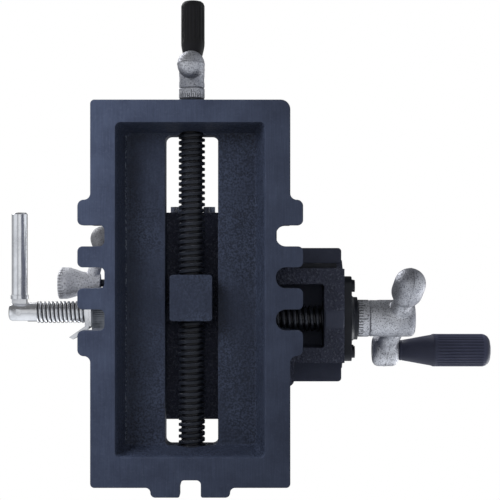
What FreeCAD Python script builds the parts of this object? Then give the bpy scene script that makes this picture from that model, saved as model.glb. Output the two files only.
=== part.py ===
import FreeCAD, Part
import math
import os

from FreeCAD import Vector

# Cross slide vise, in millimetres.
# The base stands on Z = 0 with its origin under the middle of the casting.
# The saddle slides along Y on the base, the vise body slides along X on the saddle,
# and the movable jaw slides along X on the vise body.

# Clearances
running_fit = 0.05
way_fit = 0.05
end_play = 0.3
bolt_fit = 0.1

# Base casting
base_width = 133.0
base_length = 258.0
skirt_height = 30.0
base_corner = 2.8
base_worn_corner = 6.5
side_wall = 16.5
front_wall = 15.0
rear_wall = 20.0
pocket_ceiling = 22.0
pocket_corner = 3.5
pocket_side_draft = 6.0
pocket_end_draft = 5.5
pocket_fillet = 2.0
screw_clearance = 1.0
window_width = 36.0
front_ledge = 7.0
rear_ledge = 5.0
window_corner = 4.0

# Dovetail ways
flank_angle = 60.0
base_way_top = 84.0
base_way_height = 12.0
cross_neck_width = 65.0
cross_way_height = 10.0

# Hold-down ears
ear_thickness = 11.0
ear_reach = 8.5
ear_slot_width = 14.0
ear_slot_pitch = 28.0
ear_slot_count = 3
ear_slot_depth = 18.0
ear_centre_y = -10.5
ear_outer_finger = 17.0
ear_corner = 3.5
left_slot_corner = 3.5
right_slot_corner = 6.5
rear_ear_reach = 6.5
rear_ear_width = 53.0
rear_slot_depth = 11.5
rear_slot_corner = 3.0
rear_tip_corner = 1.5

# Saddle
saddle_rest_y = 16.5
saddle_left = 58.0
saddle_right = 70.0
saddle_block_half = 48.0
saddle_block_height = 29.0
saddle_tongue_half = 71.5
saddle_tongue_height = 24.0
saddle_tongue_width = 116.0
saddle_corner = 5.0
way_undercut = 0.5
way_relief = 1.0
arm_reach = 105.0
arm_underside = 40.0
channel_width = 44.0
channel_floor = 48.0
channel_end_wall = 10.0
arm_end_wall = 14.0
arm_pocket_start = 53.0
bearing_boss_radius = 22.5
base_gib_thickness = 6.0
cross_gib_thickness = 3.0
gib_screw_radius = 3.0
gib_screw_offset = 13.0
gib_screw_socket = 3.0
end_screw_radius = 2.5
end_screw_spacing = 22.8
end_screw_depth = 12.0
end_screw_head = 8.0
end_screw_head_height = 4.0
end_screw_drop = 5.5

# Leadscrews
base_screw_z = 28.0
base_screw_radius = 9.0
base_journal_radius = 6.0
base_tail_radius = 5.0
crank_seat_radius = 5.0
cross_screw_z = 61.0
cross_screw_offset = 2.5
cross_screw_radius = 9.0
cross_journal_radius = 7.5
cross_tail_radius = 5.0
cross_seat_radius = 7.0

# Bushes
base_bush_radius = 9.6
base_bush_nose_radius = 8.6
base_bush_nose = 3.0
rear_bush_radius = 9.0
rear_bush_length = 12.0
cross_bush_radius = 11.0
cross_bush_flange_radius = 15.0
cross_bush_flange = 4.5
cross_bush_flare = 2.0
tail_bush_radius = 8.0

# Nuts
base_nut_width = 28.5
base_nut_length = 31.0
base_nut_drop = 18.0
base_nut_offset = -13.3
nut_corner = 2.0
spigot_width = 20.0
spigot_height = 2.5
cross_nut_width = 38.0
cross_nut_length = 28.0
cross_nut_drop = 12.0
cross_nut_x = 40.0
cross_nut_bolt_spacing = 28.0
cross_nut_bolt_seat = 4.0
nut_bolt_radius = 2.5
nut_bolt_head_radius = 4.2
nut_screw_radius = 3.0
nut_screw_head_radius = 6.0

# Cross bearing plate
bearing_plate_thickness = 5.5
bearing_plate_width = 59.0
bearing_plate_lift = 5.5
bearing_plate_top_gap = 0.8
bearing_plate_corner = 6.0
bearing_screw_spread_y = 46.0
bearing_screw_spread_z = 13.0
bearing_screw_radius = 2.5
bearing_screw_depth = 10.0
bearing_screw_head_radius = 4.2
bearing_screw_head_height = 2.2
bearing_screw_socket = 4.0

# Large crank on the cross leadscrew
cross_dial_length = 8.0
cross_hub_radius = 13.0
cross_hub_length = 32.4
cross_arm_angle = 52.0
cross_arm_radius = 7.0
cross_ball_reach = 36.0
cross_ball_radius = 10.9
cross_ball_stretch = 4.5
cross_ball_x = 25.2
cross_lug_reach = 40.0
cross_lug_radius = 11.6
cross_lug_length = 19.0
cross_lug_x = 14.4
cross_grip_radius = 11.8
cross_grip_neck_radius = 7.4
cross_grip_length = 66.0
cross_grip_taper = 24.0
cross_spindle_radius = 4.0
cross_pin_radius = 2.0
cross_grip_flutes = 16
grip_flute_radius = 1.1

# Small crank on the base leadscrew
base_dial_length = 7.0
base_hub_radius = 8.7
base_hub_length = 19.5
base_arm_radius = 5.0
base_ball_reach = 15.0
base_ball_radius = 9.2
base_ball_stretch = 0.8
base_ball_x = 14.5
base_lug_reach = 19.0
base_lug_radius = 7.8
base_lug_length = 12.0
base_lug_x = 10.4
base_grip_radius = 8.2
base_grip_neck_radius = 5.4
base_grip_length = 46.0
base_grip_taper = 15.0
base_spindle_radius = 3.0
base_pin_radius = 1.5
base_grip_flutes = 12

# Vise body
vise_width = 94.0
vise_left = 63.0
vise_end_gap = 1.0
vise_corner = 2.5
rail_clearance = 1.5
bed_height = 91.0
ceiling_relief = 2.0
keeper_floor = 77.0
rail_thickness = 7.0
slot_width = 24.0
keeper_slot_width = 44.0
cross_gib_end_gap = 3.5
vise_gib_screw_radius = 2.5
vise_gib_screw_socket = 2.5
vise_gib_screw_standout = 9.0
vise_gib_screw_shift = 15.0
locknut_width = 8.0
locknut_height = 4.0

# Jaws
jaw_width = 92.0
jaw_top = 132.0
fixed_jaw_thickness = 28.0
jaw_plate_thickness = 6.0
jaw_plate_height = 36.0
jaw_opening = 20.0
movable_jaw_length = 34.0
jaw_shoulder = 12.0
jaw_back_slope = 6.0
jaw_screw_spacing = 50.0
jaw_screw_radius = 3.0
jaw_screw_head_radius = 6.0
jaw_screw_sink = 0.6
jaw_screw_grip = 12.0
jaw_screw_socket = 4.0
jaw_seat_gap = 1.0
jaw_nose_half = 17.0
jaw_nose_rise = 14.0
keeper_bolt_radius = 3.0
keeper_bolt_head_radius = 5.0
keeper_bolt_seat = 3.7
vee_width = 9.0

# Vise screw
vise_screw_z = 106.0
vise_screw_radius = 8.0
vise_journal_radius = 5.5
screw_head_radius = 7.0
screw_head_length = 21.0
visible_thread = 30.5
journal_depth = 16.0
collar_radius = 9.2
collar_thickness = 5.0
retainer_thickness = 3.0
retainer_half = 16.5
retainer_rise = 11.0
retainer_corner = 4.0
retainer_screw_spread = 13.5
retainer_screw_radius = 2.0
retainer_screw_depth = 8.0
retainer_screw_head = 2.2
boss_thickness = 25.0
boss_half_width = 33.0
boss_top = 131.0
boss_corner = 13.0
bush_shank_radius = 12.0
bush_flange_radius = 15.0
bush_flange = 12.7
tab_plate_thickness = 3.0
tab_washer_thickness = 1.8
tab_plate_half = 11.0
tab_knee_inset = 1.0
tab_hole_clearance = 0.4
tab_hole_depth = 20.0
tab_length = 14.0
tab_angle = 55.0

# Folding handle
handle_radius = 5.8
handle_length = 73.0
handle_tongue = 6.0
handle_pin_radius = 2.3
handle_root = 9.6
handle_ring_radius = 6.5
handle_ring_length = 3.0

# Lock lever
lock_offset_y = -21.0
lock_z = 117.0
lock_stud_radius = 2.8
lock_stud_standout = 12.0
lock_hub_gap = 3.0
lock_hub_length = 24.0
lock_hub_radius = 12.0
lock_hub_neck_radius = 6.3
lock_hub_collar = 7.0
lock_hub_collar_taper = 0.6
lock_neck_length = 7.0
lock_arm_length = 33.0
lock_arm_radius = 5.0
lock_bulb_radius = 9.0

# Values that follow from the driving sizes
vise_right = arm_reach - vise_end_gap
flank_run = 1.0 / math.tan(math.radians(flank_angle))
flank_sine = math.sin(math.radians(flank_angle))
base_front = -base_length / 2
base_back = base_length / 2
pocket_front = base_front + front_wall
pocket_back = base_back - rear_wall
window_front = pocket_front + front_ledge
window_back = pocket_back - rear_ledge
base_way_z = skirt_height
base_way_top_z = skirt_height + base_way_height
cross_way_z = skirt_height + saddle_block_height + way_relief
cross_way_top_z = cross_way_z + cross_way_height
relief_z = cross_way_top_z + ceiling_relief
saddle_cavity_z = base_way_top_z + way_undercut
cross_screw_y = saddle_rest_y + cross_screw_offset
vise_y = saddle_rest_y
base_dial_y = base_front - base_bush_nose - end_play
base_crank_y = base_dial_y - base_dial_length
saddle_end_screw_z = skirt_height + saddle_tongue_height - end_screw_drop
cross_plate_x = arm_reach + bearing_plate_thickness
cross_dial_x = cross_plate_x + cross_bush_flange + end_play
cross_crank_x = cross_dial_x + cross_dial_length
cross_thread_end = arm_reach - arm_end_wall - end_play
cross_thread_start = -saddle_left + channel_end_wall + end_play
plate_low_z = arm_underside + bearing_plate_lift
plate_top_z = cross_way_top_z - bearing_plate_top_gap
plate_centre_z = (plate_low_z + plate_top_z) / 2
jaw_plate_z = bed_height + jaw_seat_gap
jaw_screw_z = jaw_plate_z + jaw_plate_height / 2
keeper_low = keeper_floor + end_play
keeper_top = bed_height - rail_thickness - end_play
fixed_face_x = vise_right - fixed_jaw_thickness - jaw_plate_thickness
movable_face_x = fixed_face_x - jaw_opening
jaw_front_x = movable_face_x - jaw_plate_thickness
jaw_back_x = jaw_front_x - movable_jaw_length
boss_face_x = -vise_left + boss_thickness
bush_face_x = -vise_left - bush_flange
tab_plate_x = bush_face_x - tab_washer_thickness
thread_start_x = tab_plate_x - tab_plate_thickness - visible_thread - 5.0
lock_y = vise_y + lock_offset_y
lock_hub_start = -vise_left - lock_stud_standout - lock_hub_gap
handle_x = thread_start_x - screw_head_length + screw_head_radius + 0.5
handle_slot_depth = screw_head_radius - 0.8


def box(low, high):
    """Block between two opposite corners."""
    size = Vector(*high) - Vector(*low)
    return Part.makeBox(size.x, size.y, size.z, Vector(*low))


def rod(radius, start, end):
    """Round bar between two points."""
    start = Vector(*start)
    way = Vector(*end) - start
    return Part.makeCylinder(radius, way.Length, start, way)


def cone(start_radius, end_radius, start, end):
    """Round bar that changes evenly from one radius to the other."""
    start = Vector(*start)
    way = Vector(*end) - start
    return Part.makeCone(start_radius, end_radius, way.Length, start, way)


def ball_along(radius, centre, axis):
    """Ball whose poles lie on the given axis."""
    return Part.makeSphere(radius, Vector(*centre), Vector(*axis))


def rounded_face(corners, place):
    """Flat face whose corners (a, b, radius) are rounded, put in space by place(a, b)."""
    edges = []
    starts = []
    ends = []
    count = len(corners)
    for index, (a, b, radius) in enumerate(corners):
        here = place(a, b)
        before = place(*corners[index - 1][:2])
        after = place(*corners[(index + 1) % count][:2])
        if radius <= 0:
            starts.append(here)
            ends.append(here)
            edges.append(None)
            continue
        back = (before - here).normalize()
        ahead = (after - here).normalize()
        half_turn = back.getAngle(ahead) / 2
        reach = radius / math.tan(half_turn)
        middle = (back + ahead).normalize()
        first = here + back * reach
        last = here + ahead * reach
        nearest = here + middle * (radius / math.sin(half_turn) - radius)
        starts.append(first)
        ends.append(last)
        edges.append(Part.Arc(first, nearest, last).toShape())
    outline = []
    for index in range(count):
        if edges[index] is not None:
            outline.append(edges[index])
        following = starts[(index + 1) % count]
        if (following - ends[index]).Length > 1e-6:
            outline.append(Part.LineSegment(ends[index], following).toShape())
    return Part.Face(Part.Wire(outline))


def plate_z(corners, low, high):
    """Plate with a rounded outline in X and Y, from height low to height high."""
    face = rounded_face(corners, lambda a, b: Vector(a, b, low))
    return face.extrude(Vector(0, 0, high - low))


def bar_y(corners, low, high):
    """Bar along Y with a rounded section in X and Z."""
    face = rounded_face(corners, lambda a, b: Vector(a, low, b))
    return face.extrude(Vector(0, high - low, 0))


def bar_x(corners, low, high):
    """Bar along X with a rounded section in Y and Z."""
    face = rounded_face(corners, lambda a, b: Vector(low, a, b))
    return face.extrude(Vector(high - low, 0, 0))


def rectangle(x_low, x_high, y_low, y_high, radius):
    """Corners of a rectangle with one corner radius."""
    return [(x_low, y_low, radius), (x_high, y_low, radius), (x_high, y_high, radius), (x_low, y_high, radius)]


def turned(profile, centre, axis):
    """Solid turned from (distance along the axis, radius) points."""
    centre = Vector(*centre)
    axis = Vector(*axis).normalize()
    side = Vector(0, 0, 1).cross(axis)
    if side.Length < 0.1:
        side = Vector(1, 0, 0)
    side.normalize()
    points = [centre + axis * along + side * radius for along, radius in profile]
    face = Part.Face(Part.makePolygon(points + [points[0]]))
    return face.revolve(centre, axis, 360)


def fused(shapes):
    """One solid from touching or crossing shapes."""
    result = shapes[0].fuse(shapes[1:])
    return result.removeSplitter()


def cut(shape, tools):
    """The shape with every tool taken away."""
    return shape.cut(tools)


def hexagon(across_flats):
    """Corners of a hexagon about the origin."""
    radius = across_flats / math.sqrt(3)
    turns = [math.radians(60 * step) for step in range(6)]
    return [(radius * math.cos(turn), radius * math.sin(turn)) for turn in turns]


def base_way_section(grow, low_z):
    """Section of the base dovetail, wider by grow on each side."""
    drop = base_way_top_z - low_z
    top = base_way_top / 2 + grow
    return [(-top, base_way_top_z, 0), (-top + drop * flank_run, low_z, 0),
            (top - drop * flank_run, low_z, 0), (top, base_way_top_z, 0)]


def ear_comb(side):
    """Flat ear along one side of the base with open slots for hold-down bolts."""
    slot_corner = left_slot_corner if side < 0 else right_slot_corner
    edge = side * base_width / 2
    tip = edge + side * ear_reach
    root = tip - side * ear_slot_depth
    inner = edge - side * (side_wall - 1)
    half_pitch = (ear_slot_count - 1) / 2
    slot_centres = [ear_centre_y + (step - half_pitch) * ear_slot_pitch for step in range(ear_slot_count)]
    first = slot_centres[0] - ear_slot_width / 2 - ear_outer_finger
    last = slot_centres[-1] + ear_slot_width / 2 + ear_outer_finger
    blend = ear_reach / 2 - 0.01
    corners = [(inner, first - ear_reach, 0), (edge, first - ear_reach, 0), (edge, first, blend), (tip, first, blend)]
    for centre in slot_centres:
        near = centre - ear_slot_width / 2
        far = centre + ear_slot_width / 2
        corners += [(tip, near, ear_corner), (root, near, slot_corner),
                    (root, far, slot_corner), (tip, far, ear_corner)]
    corners += [(tip, last, blend), (edge, last, blend), (edge, last + ear_reach, 0), (inner, last + ear_reach, 0)]
    comb = plate_z(corners, 0, ear_thickness)
    cuts = []
    for centre in slot_centres:
        near = centre - ear_slot_width / 2
        far = centre + ear_slot_width / 2
        slot = [(edge + side, near, 0), (root, near, slot_corner), (root, far, slot_corner), (edge + side, far, 0)]
        cuts.append(plate_z(slot, -1, skirt_height + 1))
    return comb, cuts


def rear_ear():
    """Small ear behind the base with one open slot."""
    half = rear_ear_width / 2
    slot = ear_slot_width / 2
    tip = base_back + rear_ear_reach
    root = tip - rear_slot_depth
    inner = base_back - rear_wall + 2
    blend = rear_ear_reach / 2 - 0.01
    corners = [(-half - rear_ear_reach, inner, 0), (-half - rear_ear_reach, base_back, 0), (-half, base_back, blend),
               (-half, tip, blend), (-slot, tip, rear_tip_corner), (-slot, root, rear_slot_corner),
               (slot, root, rear_slot_corner), (slot, tip, rear_tip_corner),
               (half, tip, blend), (half, base_back, blend), (half + rear_ear_reach, base_back, 0),
               (half + rear_ear_reach, inner, 0)]
    notch = [(-slot, base_back + 1, 0), (-slot, root, rear_slot_corner), (slot, root, rear_slot_corner),
             (slot, base_back + 1, 0)]
    return plate_z(corners, 0, ear_thickness), plate_z(notch, -1, skirt_height + base_way_height + 1)


def base_pocket():
    """Cored pocket under the base, its walls drafted so that the core draws out downward."""
    inner = base_width / 2 - side_wall
    mouth = rectangle(-inner, inner, pocket_front, pocket_back, pocket_corner)
    roof = rectangle(-inner + pocket_side_draft, inner - pocket_side_draft, pocket_front + pocket_end_draft,
                     pocket_back - pocket_end_draft, pocket_corner)
    lower = rounded_face(mouth, lambda a, b: Vector(a, b, 0)).OuterWire
    upper = rounded_face(roof, lambda a, b: Vector(a, b, pocket_ceiling)).OuterWire
    pocket = Part.makeLoft([lower, upper], True, True)
    rim = [edge for edge in pocket.Edges if edge.BoundBox.ZMin > pocket_ceiling - 0.01]
    return fused([pocket.makeFillet(pocket_fillet, rim), plate_z(mouth, -1, 0)])


def base_casting():
    """Hollow base: skirt, dovetail way on top, pocket below, through window and open-slotted ears."""
    half_width = base_width / 2
    outline = [(-half_width, base_front, base_corner), (half_width, base_front, base_worn_corner),
               (half_width, base_back, base_corner), (-half_width, base_back, base_corner)]
    skirt = plate_z(outline, 0, skirt_height)
    way = bar_y(base_way_section(0, base_way_z - way_undercut), base_front, base_back)
    left_comb, left_cuts = ear_comb(-1)
    right_comb, right_cuts = ear_comb(1)
    tail, tail_cut = rear_ear()
    half_window = window_width / 2
    window = plate_z(rectangle(-half_window, half_window, window_front, window_back, window_corner),
                     pocket_ceiling - front_ledge, base_way_top_z + 1)
    solid_skirt = fused([skirt, way]).cut([base_pocket(), window, tail_cut] + left_cuts + right_cuts)
    body = fused([solid_skirt, left_comb, right_comb, tail])
    front_bore = rod(base_bush_radius, (0, base_front - 1, base_screw_z), (0, pocket_front, base_screw_z))
    front_clear = rod(base_screw_radius + screw_clearance, (0, pocket_front, base_screw_z),
                      (0, window_front + 1, base_screw_z))
    rear_clear = rod(base_screw_radius + screw_clearance, (0, window_back - 1, base_screw_z),
                     (0, pocket_back, base_screw_z))
    rear_bore = rod(rear_bush_radius, (0, pocket_back, base_screw_z),
                    (0, pocket_back + rear_bush_length, base_screw_z))
    return cut(body, [front_bore, front_clear, rear_clear, rear_bore])


def base_front_bush():
    """Bush with a narrower nose that carries the front journal of the base leadscrew."""
    nose_y = base_front - base_bush_nose
    bush = fused([rod(base_bush_radius, (0, pocket_front, base_screw_z), (0, base_front, base_screw_z)),
                  rod(base_bush_nose_radius, (0, base_front, base_screw_z), (0, nose_y, base_screw_z))])
    bore = rod(base_journal_radius + running_fit, (0, pocket_front + 1, base_screw_z), (0, nose_y - 1, base_screw_z))
    return cut(bush, [bore])


def base_rear_bush():
    """Plain bush in the blind bore of the rear wall."""
    bush = rod(rear_bush_radius, (0, pocket_back, base_screw_z), (0, pocket_back + rear_bush_length, base_screw_z))
    bore = rod(base_tail_radius + running_fit, (0, pocket_back - 1, base_screw_z),
               (0, pocket_back + rear_bush_length + 1, base_screw_z))
    return cut(bush, [bore])


def base_leadscrew():
    """Leadscrew along Y: crank seat, front journal, threaded length and tail journal."""
    crank_end = base_crank_y - base_hub_length
    profile = [(crank_end, 0), (crank_end, crank_seat_radius), (base_dial_y, crank_seat_radius),
               (base_dial_y, base_journal_radius), (pocket_front + end_play, base_journal_radius),
               (pocket_front + end_play, base_screw_radius), (pocket_back - end_play, base_screw_radius),
               (pocket_back - end_play, base_tail_radius), (pocket_back + rear_bush_length - 1, base_tail_radius),
               (pocket_back + rear_bush_length - 1, 0)]
    screw = turned(profile, (0, 0, base_screw_z), (0, 1, 0))
    return cut(screw, [base_pin_hole(running_fit)])


def base_pin_hole(clearance):
    """Cross pin through the small crank's hub and the shaft."""
    y = base_crank_y - base_hub_length * 0.3
    half = base_hub_radius - 0.3
    end = half + clearance * 10
    return rod(base_pin_radius + clearance, (-end, y, base_screw_z), (end, y, base_screw_z))


def base_crank_pin():
    """Pin that ties the small crank to its shaft."""
    return base_pin_hole(0)


def dial(radius, bore_radius, start, end):
    """Graduated collar between the bearing and the crank."""
    ring = rod(radius, start, end)
    return cut(ring, [rod(bore_radius + running_fit, start, end)])


def base_dial():
    """Graduated collar of the base leadscrew."""
    return dial(base_hub_radius, crank_seat_radius, (0, base_dial_y, base_screw_z), (0, base_crank_y, base_screw_z))


def crank_body(hub_radius, hub_length, bore_radius, arm_radius, ball_reach, ball_radius, ball_stretch, ball_x,
               lug_reach, lug_radius, lug_length, lug_x, spindle_radius):
    """Cast crank along local X: hub, slanted arm, counterweight ball on -Y and grip lug on +Y."""
    hub = rod(hub_radius, (0, 0, 0), (hub_length, 0, 0))
    outer = [edge for edge in hub.Edges if edge.CenterOfMass.x > hub_length - 0.01]
    hub = hub.makeFillet(hub_radius * 0.3, outer)
    ball = Vector(ball_x, -ball_reach, 0)
    lug = Vector(lug_x, lug_reach, 0)
    along = (lug - ball).normalize()
    middle = ball + along * (ball_reach / (ball_reach + lug_reach) * (lug - ball).Length)
    ball_arm = cone(arm_radius * 1.15, arm_radius * 0.9, middle, ball)
    lug_arm = cone(arm_radius * 1.15, arm_radius, middle, lug)
    near = ball + along * ball_stretch
    far = ball - along * ball_stretch
    capsule = [ball_along(ball_radius, near, along), rod(ball_radius, near, far), ball_along(ball_radius, far, along)]
    eye = rod(lug_radius, (lug_x - lug_length / 2, lug_reach, 0), (lug_x + lug_length / 2, lug_reach, 0))
    eye = eye.makeFillet(lug_radius * 0.4, [edge for edge in eye.Edges if len(edge.Vertexes) == 1])
    body = fused([hub, ball_arm, lug_arm] + capsule + [eye])
    shaft_bore = rod(bore_radius, (-1, 0, 0), (hub_length + 1, 0, 0))
    spindle_bore = rod(spindle_radius, (lug_x - lug_length, lug_reach, 0), (lug_x + lug_length, lug_reach, 0))
    return cut(body, [shaft_bore, spindle_bore])


def crank_frame(origin, outward, arm):
    """Placement whose local X points outward and local Y along the arm."""
    outward = Vector(*outward)
    arm = Vector(*arm)
    side = outward.cross(arm)
    return FreeCAD.Placement(FreeCAD.Matrix(outward.x, arm.x, side.x, origin[0], outward.y, arm.y, side.y, origin[1],
                                            outward.z, arm.z, side.z, origin[2], 0, 0, 0, 1))


def placed(shape, frame):
    """The shape moved from crank coordinates into the vise."""
    moved = shape.copy()
    moved.Placement = frame
    return moved


def grip_body(radius, neck_radius, length, taper, spindle_radius, flutes):
    """Tapered and fluted grip along local X, closed at its outer end."""
    end_round = radius * 0.35
    profile = [(0, 0), (0, neck_radius), (taper, radius), (length - end_round, radius),
               (length - end_round * 0.3, radius - end_round * 0.3), (length, radius - end_round), (length, 0)]
    body = turned(profile, (0, 0, 0), (1, 0, 0))
    grooves = []
    for step in range(flutes):
        turn = 2 * math.pi * step / flutes
        y = (radius + 0.5) * math.cos(turn)
        z = (radius + 0.5) * math.sin(turn)
        grooves.append(rod(grip_flute_radius, (taper + 3, y, z), (length - end_round - 1, y, z)))
    bore = rod(spindle_radius + running_fit, (-1, 0, 0), (length * 0.8, 0, 0))
    return cut(body, grooves + [bore])


def spindle_body(radius, lug_length, grip_length):
    """Shouldered spindle that is screwed into the crank lug and carries the grip."""
    return rod(radius, (-lug_length, 0, 0), (grip_length * 0.8 - 0.5, 0, 0))


base_frame = crank_frame((0, base_crank_y, base_screw_z), (0, -1, 0), (0, 0, 1))
cross_turn = math.radians(cross_arm_angle)
cross_frame = crank_frame((cross_crank_x, cross_screw_y, cross_screw_z), (1, 0, 0),
                          (0, math.cos(cross_turn), math.sin(cross_turn)))


def base_crank():
    """Small cast crank at the front of the base."""
    body = crank_body(base_hub_radius, base_hub_length, crank_seat_radius + running_fit, base_arm_radius,
                      base_ball_reach, base_ball_radius, base_ball_stretch, base_ball_x, base_lug_reach,
                      base_lug_radius, base_lug_length, base_lug_x, base_spindle_radius + running_fit)
    return cut(placed(body, base_frame), [base_pin_hole(running_fit)])


def cross_pin_hole(clearance):
    """Cross pin through the large crank's hub and the shaft."""
    x = cross_crank_x + cross_hub_length * 0.12
    half = cross_hub_radius - 0.4
    return rod(cross_pin_radius + clearance, (x, cross_screw_y - half - clearance * 10, cross_screw_z),
               (x, cross_screw_y + half + clearance * 10, cross_screw_z))


def cross_crank_pin():
    """Pin that ties the large crank to its shaft."""
    return cross_pin_hole(0)


def cross_crank():
    """Large cast crank at the end of the arm."""
    body = crank_body(cross_hub_radius, cross_hub_length, cross_seat_radius + running_fit, cross_arm_radius,
                      cross_ball_reach, cross_ball_radius, cross_ball_stretch, cross_ball_x, cross_lug_reach,
                      cross_lug_radius, cross_lug_length, cross_lug_x, cross_spindle_radius + running_fit)
    return cut(placed(body, cross_frame), [cross_pin_hole(running_fit)])


def moved_x(shape, x, y):
    """Shape shifted inside crank coordinates before it is placed."""
    shifted = shape.copy()
    shifted.translate(Vector(x, y, 0))
    return shifted


def base_grip():
    """Small grip that turns on its spindle."""
    body = grip_body(base_grip_radius, base_grip_neck_radius, base_grip_length, base_grip_taper,
                     base_spindle_radius, base_grip_flutes)
    start = base_lug_x + base_lug_length / 2 + end_play
    return placed_local(body, start, base_lug_reach, base_frame)


def cross_grip():
    """Large fluted grip that turns on its spindle."""
    body = grip_body(cross_grip_radius, cross_grip_neck_radius, cross_grip_length, cross_grip_taper,
                     cross_spindle_radius, cross_grip_flutes)
    start = cross_lug_x + cross_lug_length / 2 + end_play
    return placed_local(body, start, cross_lug_reach, cross_frame)


def placed_local(shape, x, y, frame):
    """Shape shifted to (x, y) in crank coordinates and put into the vise."""
    shifted = moved_x(shape, x, y)
    shifted.Placement = frame.multiply(shifted.Placement)
    return shifted


def base_grip_spindle():
    """Spindle of the small grip."""
    body = spindle_body(base_spindle_radius, base_lug_length, base_grip_length)
    return placed_local(body, base_lug_x + base_lug_length / 2, base_lug_reach, base_frame)


def cross_grip_spindle():
    """Spindle of the large grip."""
    body = spindle_body(cross_spindle_radius, cross_lug_length, cross_grip_length)
    return placed_local(body, cross_lug_x + cross_lug_length / 2, cross_lug_reach, cross_frame)


def base_nut_screw_shape(clearance):
    """Countersunk screw from the channel floor down into the base nut."""
    y = saddle_rest_y + base_nut_offset
    top = channel_floor - 0.2
    sink = nut_screw_head_radius - nut_screw_radius
    shank = rod(nut_screw_radius + clearance, (0, y, top), (0, y, saddle_cavity_z - sink - 0.5))
    head = cone(nut_screw_head_radius + clearance, nut_screw_radius + clearance, (0, y, top), (0, y, top - sink))
    return fused([shank, head])


def base_nut():
    """Block nut that hangs from the saddle through the base window."""
    y = saddle_rest_y + base_nut_offset
    low = base_screw_z - base_nut_drop
    half_x = base_nut_width / 2
    half_y = base_nut_length / 2
    block = plate_z(rectangle(-half_x, half_x, y - half_y, y + half_y, nut_corner), low, saddle_cavity_z)
    half = spigot_width / 2
    spigot = plate_z(rectangle(-half, half, y - half, y + half, 1.0), saddle_cavity_z - 1,
                     saddle_cavity_z + spigot_height)
    bore = rod(base_screw_radius + running_fit, (0, y - base_nut_length, base_screw_z),
               (0, y + base_nut_length, base_screw_z))
    return cut(fused([block, spigot]), [bore, base_nut_screw_shape(running_fit)])


def base_nut_screw():
    """Countersunk screw of the base nut."""
    return base_nut_screw_shape(0)


def cross_way_section(gib_room, low_z, top_z, clearance):
    """Section of the cross dovetail in Y and Z, with room for the gib on the -Y side."""
    neck = cross_neck_width / 2
    rise = (top_z - cross_way_z) * flank_run
    dip = (low_z - cross_way_z) * flank_run
    near = saddle_rest_y - neck - gib_room - clearance
    far = saddle_rest_y + neck + clearance
    return [(near - dip, low_z, 0), (far + dip, low_z, 0), (far + rise, top_z, 0), (near - rise, top_z, 0)]


def base_gib_room():
    """Width that the saddle gib takes up along X."""
    return base_gib_thickness / flank_sine


def cross_gib_room():
    """Width that the vise gib takes up along Y."""
    return cross_gib_thickness / flank_sine


def saddle_casting():
    """Cross saddle: block and long tongue on the base ways, arm with the cross dovetail on top."""
    y = saddle_rest_y
    block_top = skirt_height + saddle_block_height
    tongue_half = saddle_tongue_width / 2
    block = plate_z(rectangle(-saddle_left, saddle_right, y - saddle_block_half, y + saddle_block_half,
                              saddle_corner), skirt_height, block_top)
    tongue = plate_z(rectangle(-tongue_half, tongue_half, y - saddle_tongue_half, y + saddle_tongue_half,
                               saddle_corner), skirt_height, skirt_height + saddle_tongue_height)
    neck = cross_neck_width / 2
    arm = box((-saddle_left, y - neck, arm_underside), (arm_reach, y + neck, cross_way_z + 0.5))
    way = bar_x(cross_way_section(0, cross_way_z, cross_way_top_z, 0), -saddle_left, arm_reach)
    boss = rod(bearing_boss_radius, (arm_reach - arm_end_wall, cross_screw_y, cross_screw_z),
               (arm_reach, cross_screw_y, cross_screw_z))
    boss = boss.common(box((0, y - neck, 0), (arm_reach, y + neck, cross_way_z)))
    body = fused([block, tongue, arm, way, boss])
    room = base_gib_room()
    top = base_way_top / 2
    depth = saddle_cavity_z - skirt_height + 1
    foot = top - (base_way_top_z - skirt_height + 1) * flank_run
    head = foot + depth * flank_run
    cavity = bar_y([(-foot - way_fit, skirt_height - 1, 0), (foot + room + way_fit, skirt_height - 1, 0),
                    (head + room + way_fit, saddle_cavity_z, 0), (-head - way_fit, saddle_cavity_z, 0)],
                   y - saddle_tongue_half - 1, y + saddle_tongue_half + 1)
    half_channel = channel_width / 2
    channel = box((-saddle_left + channel_end_wall, y - half_channel, channel_floor),
                  (arm_reach - arm_end_wall, y + half_channel, cross_way_top_z + 1))
    arm_pocket = plate_z(rectangle(arm_pocket_start, arm_reach - arm_end_wall, y - half_channel, y + half_channel,
                                   2.0), skirt_height - 1, channel_floor + 1)
    front_bore = rod(cross_bush_radius, (arm_reach - arm_end_wall - 1, cross_screw_y, cross_screw_z),
                     (arm_reach + 1, cross_screw_y, cross_screw_z))
    tail_bore = rod(tail_bush_radius, (-saddle_left - 1, cross_screw_y, cross_screw_z),
                    (-saddle_left + channel_end_wall + 1, cross_screw_y, cross_screw_z))
    nut_y = y + base_nut_offset
    half = spigot_width / 2 + bolt_fit
    spigot_room = plate_z(rectangle(-half, half, nut_y - half, nut_y + half, 1.0), saddle_cavity_z - 1,
                          saddle_cavity_z + spigot_height + bolt_fit)
    holes = [base_nut_screw_shape(running_fit)] + bearing_screw_shanks(running_fit)
    holes += saddle_gib_screw_shapes(running_fit) + saddle_end_screw_shanks(running_fit)
    return cut(body, [cavity, channel, arm_pocket, front_bore, tail_bore, spigot_room] + holes)


def saddle_gib():
    """Tapered-section strip that takes up play between the saddle and the base dovetail."""
    top = base_way_top / 2
    room = base_gib_room()
    low = skirt_height + 0.3
    high = base_way_top_z
    foot = top - (high - low) * flank_run
    gap = way_fit
    return bar_y([(foot + gap, low, 0), (foot + room, low, 0), (top + room, high, 0), (top + gap, high, 0)],
                 saddle_rest_y - saddle_tongue_half + 1, saddle_rest_y + saddle_tongue_half - 1)


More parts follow.
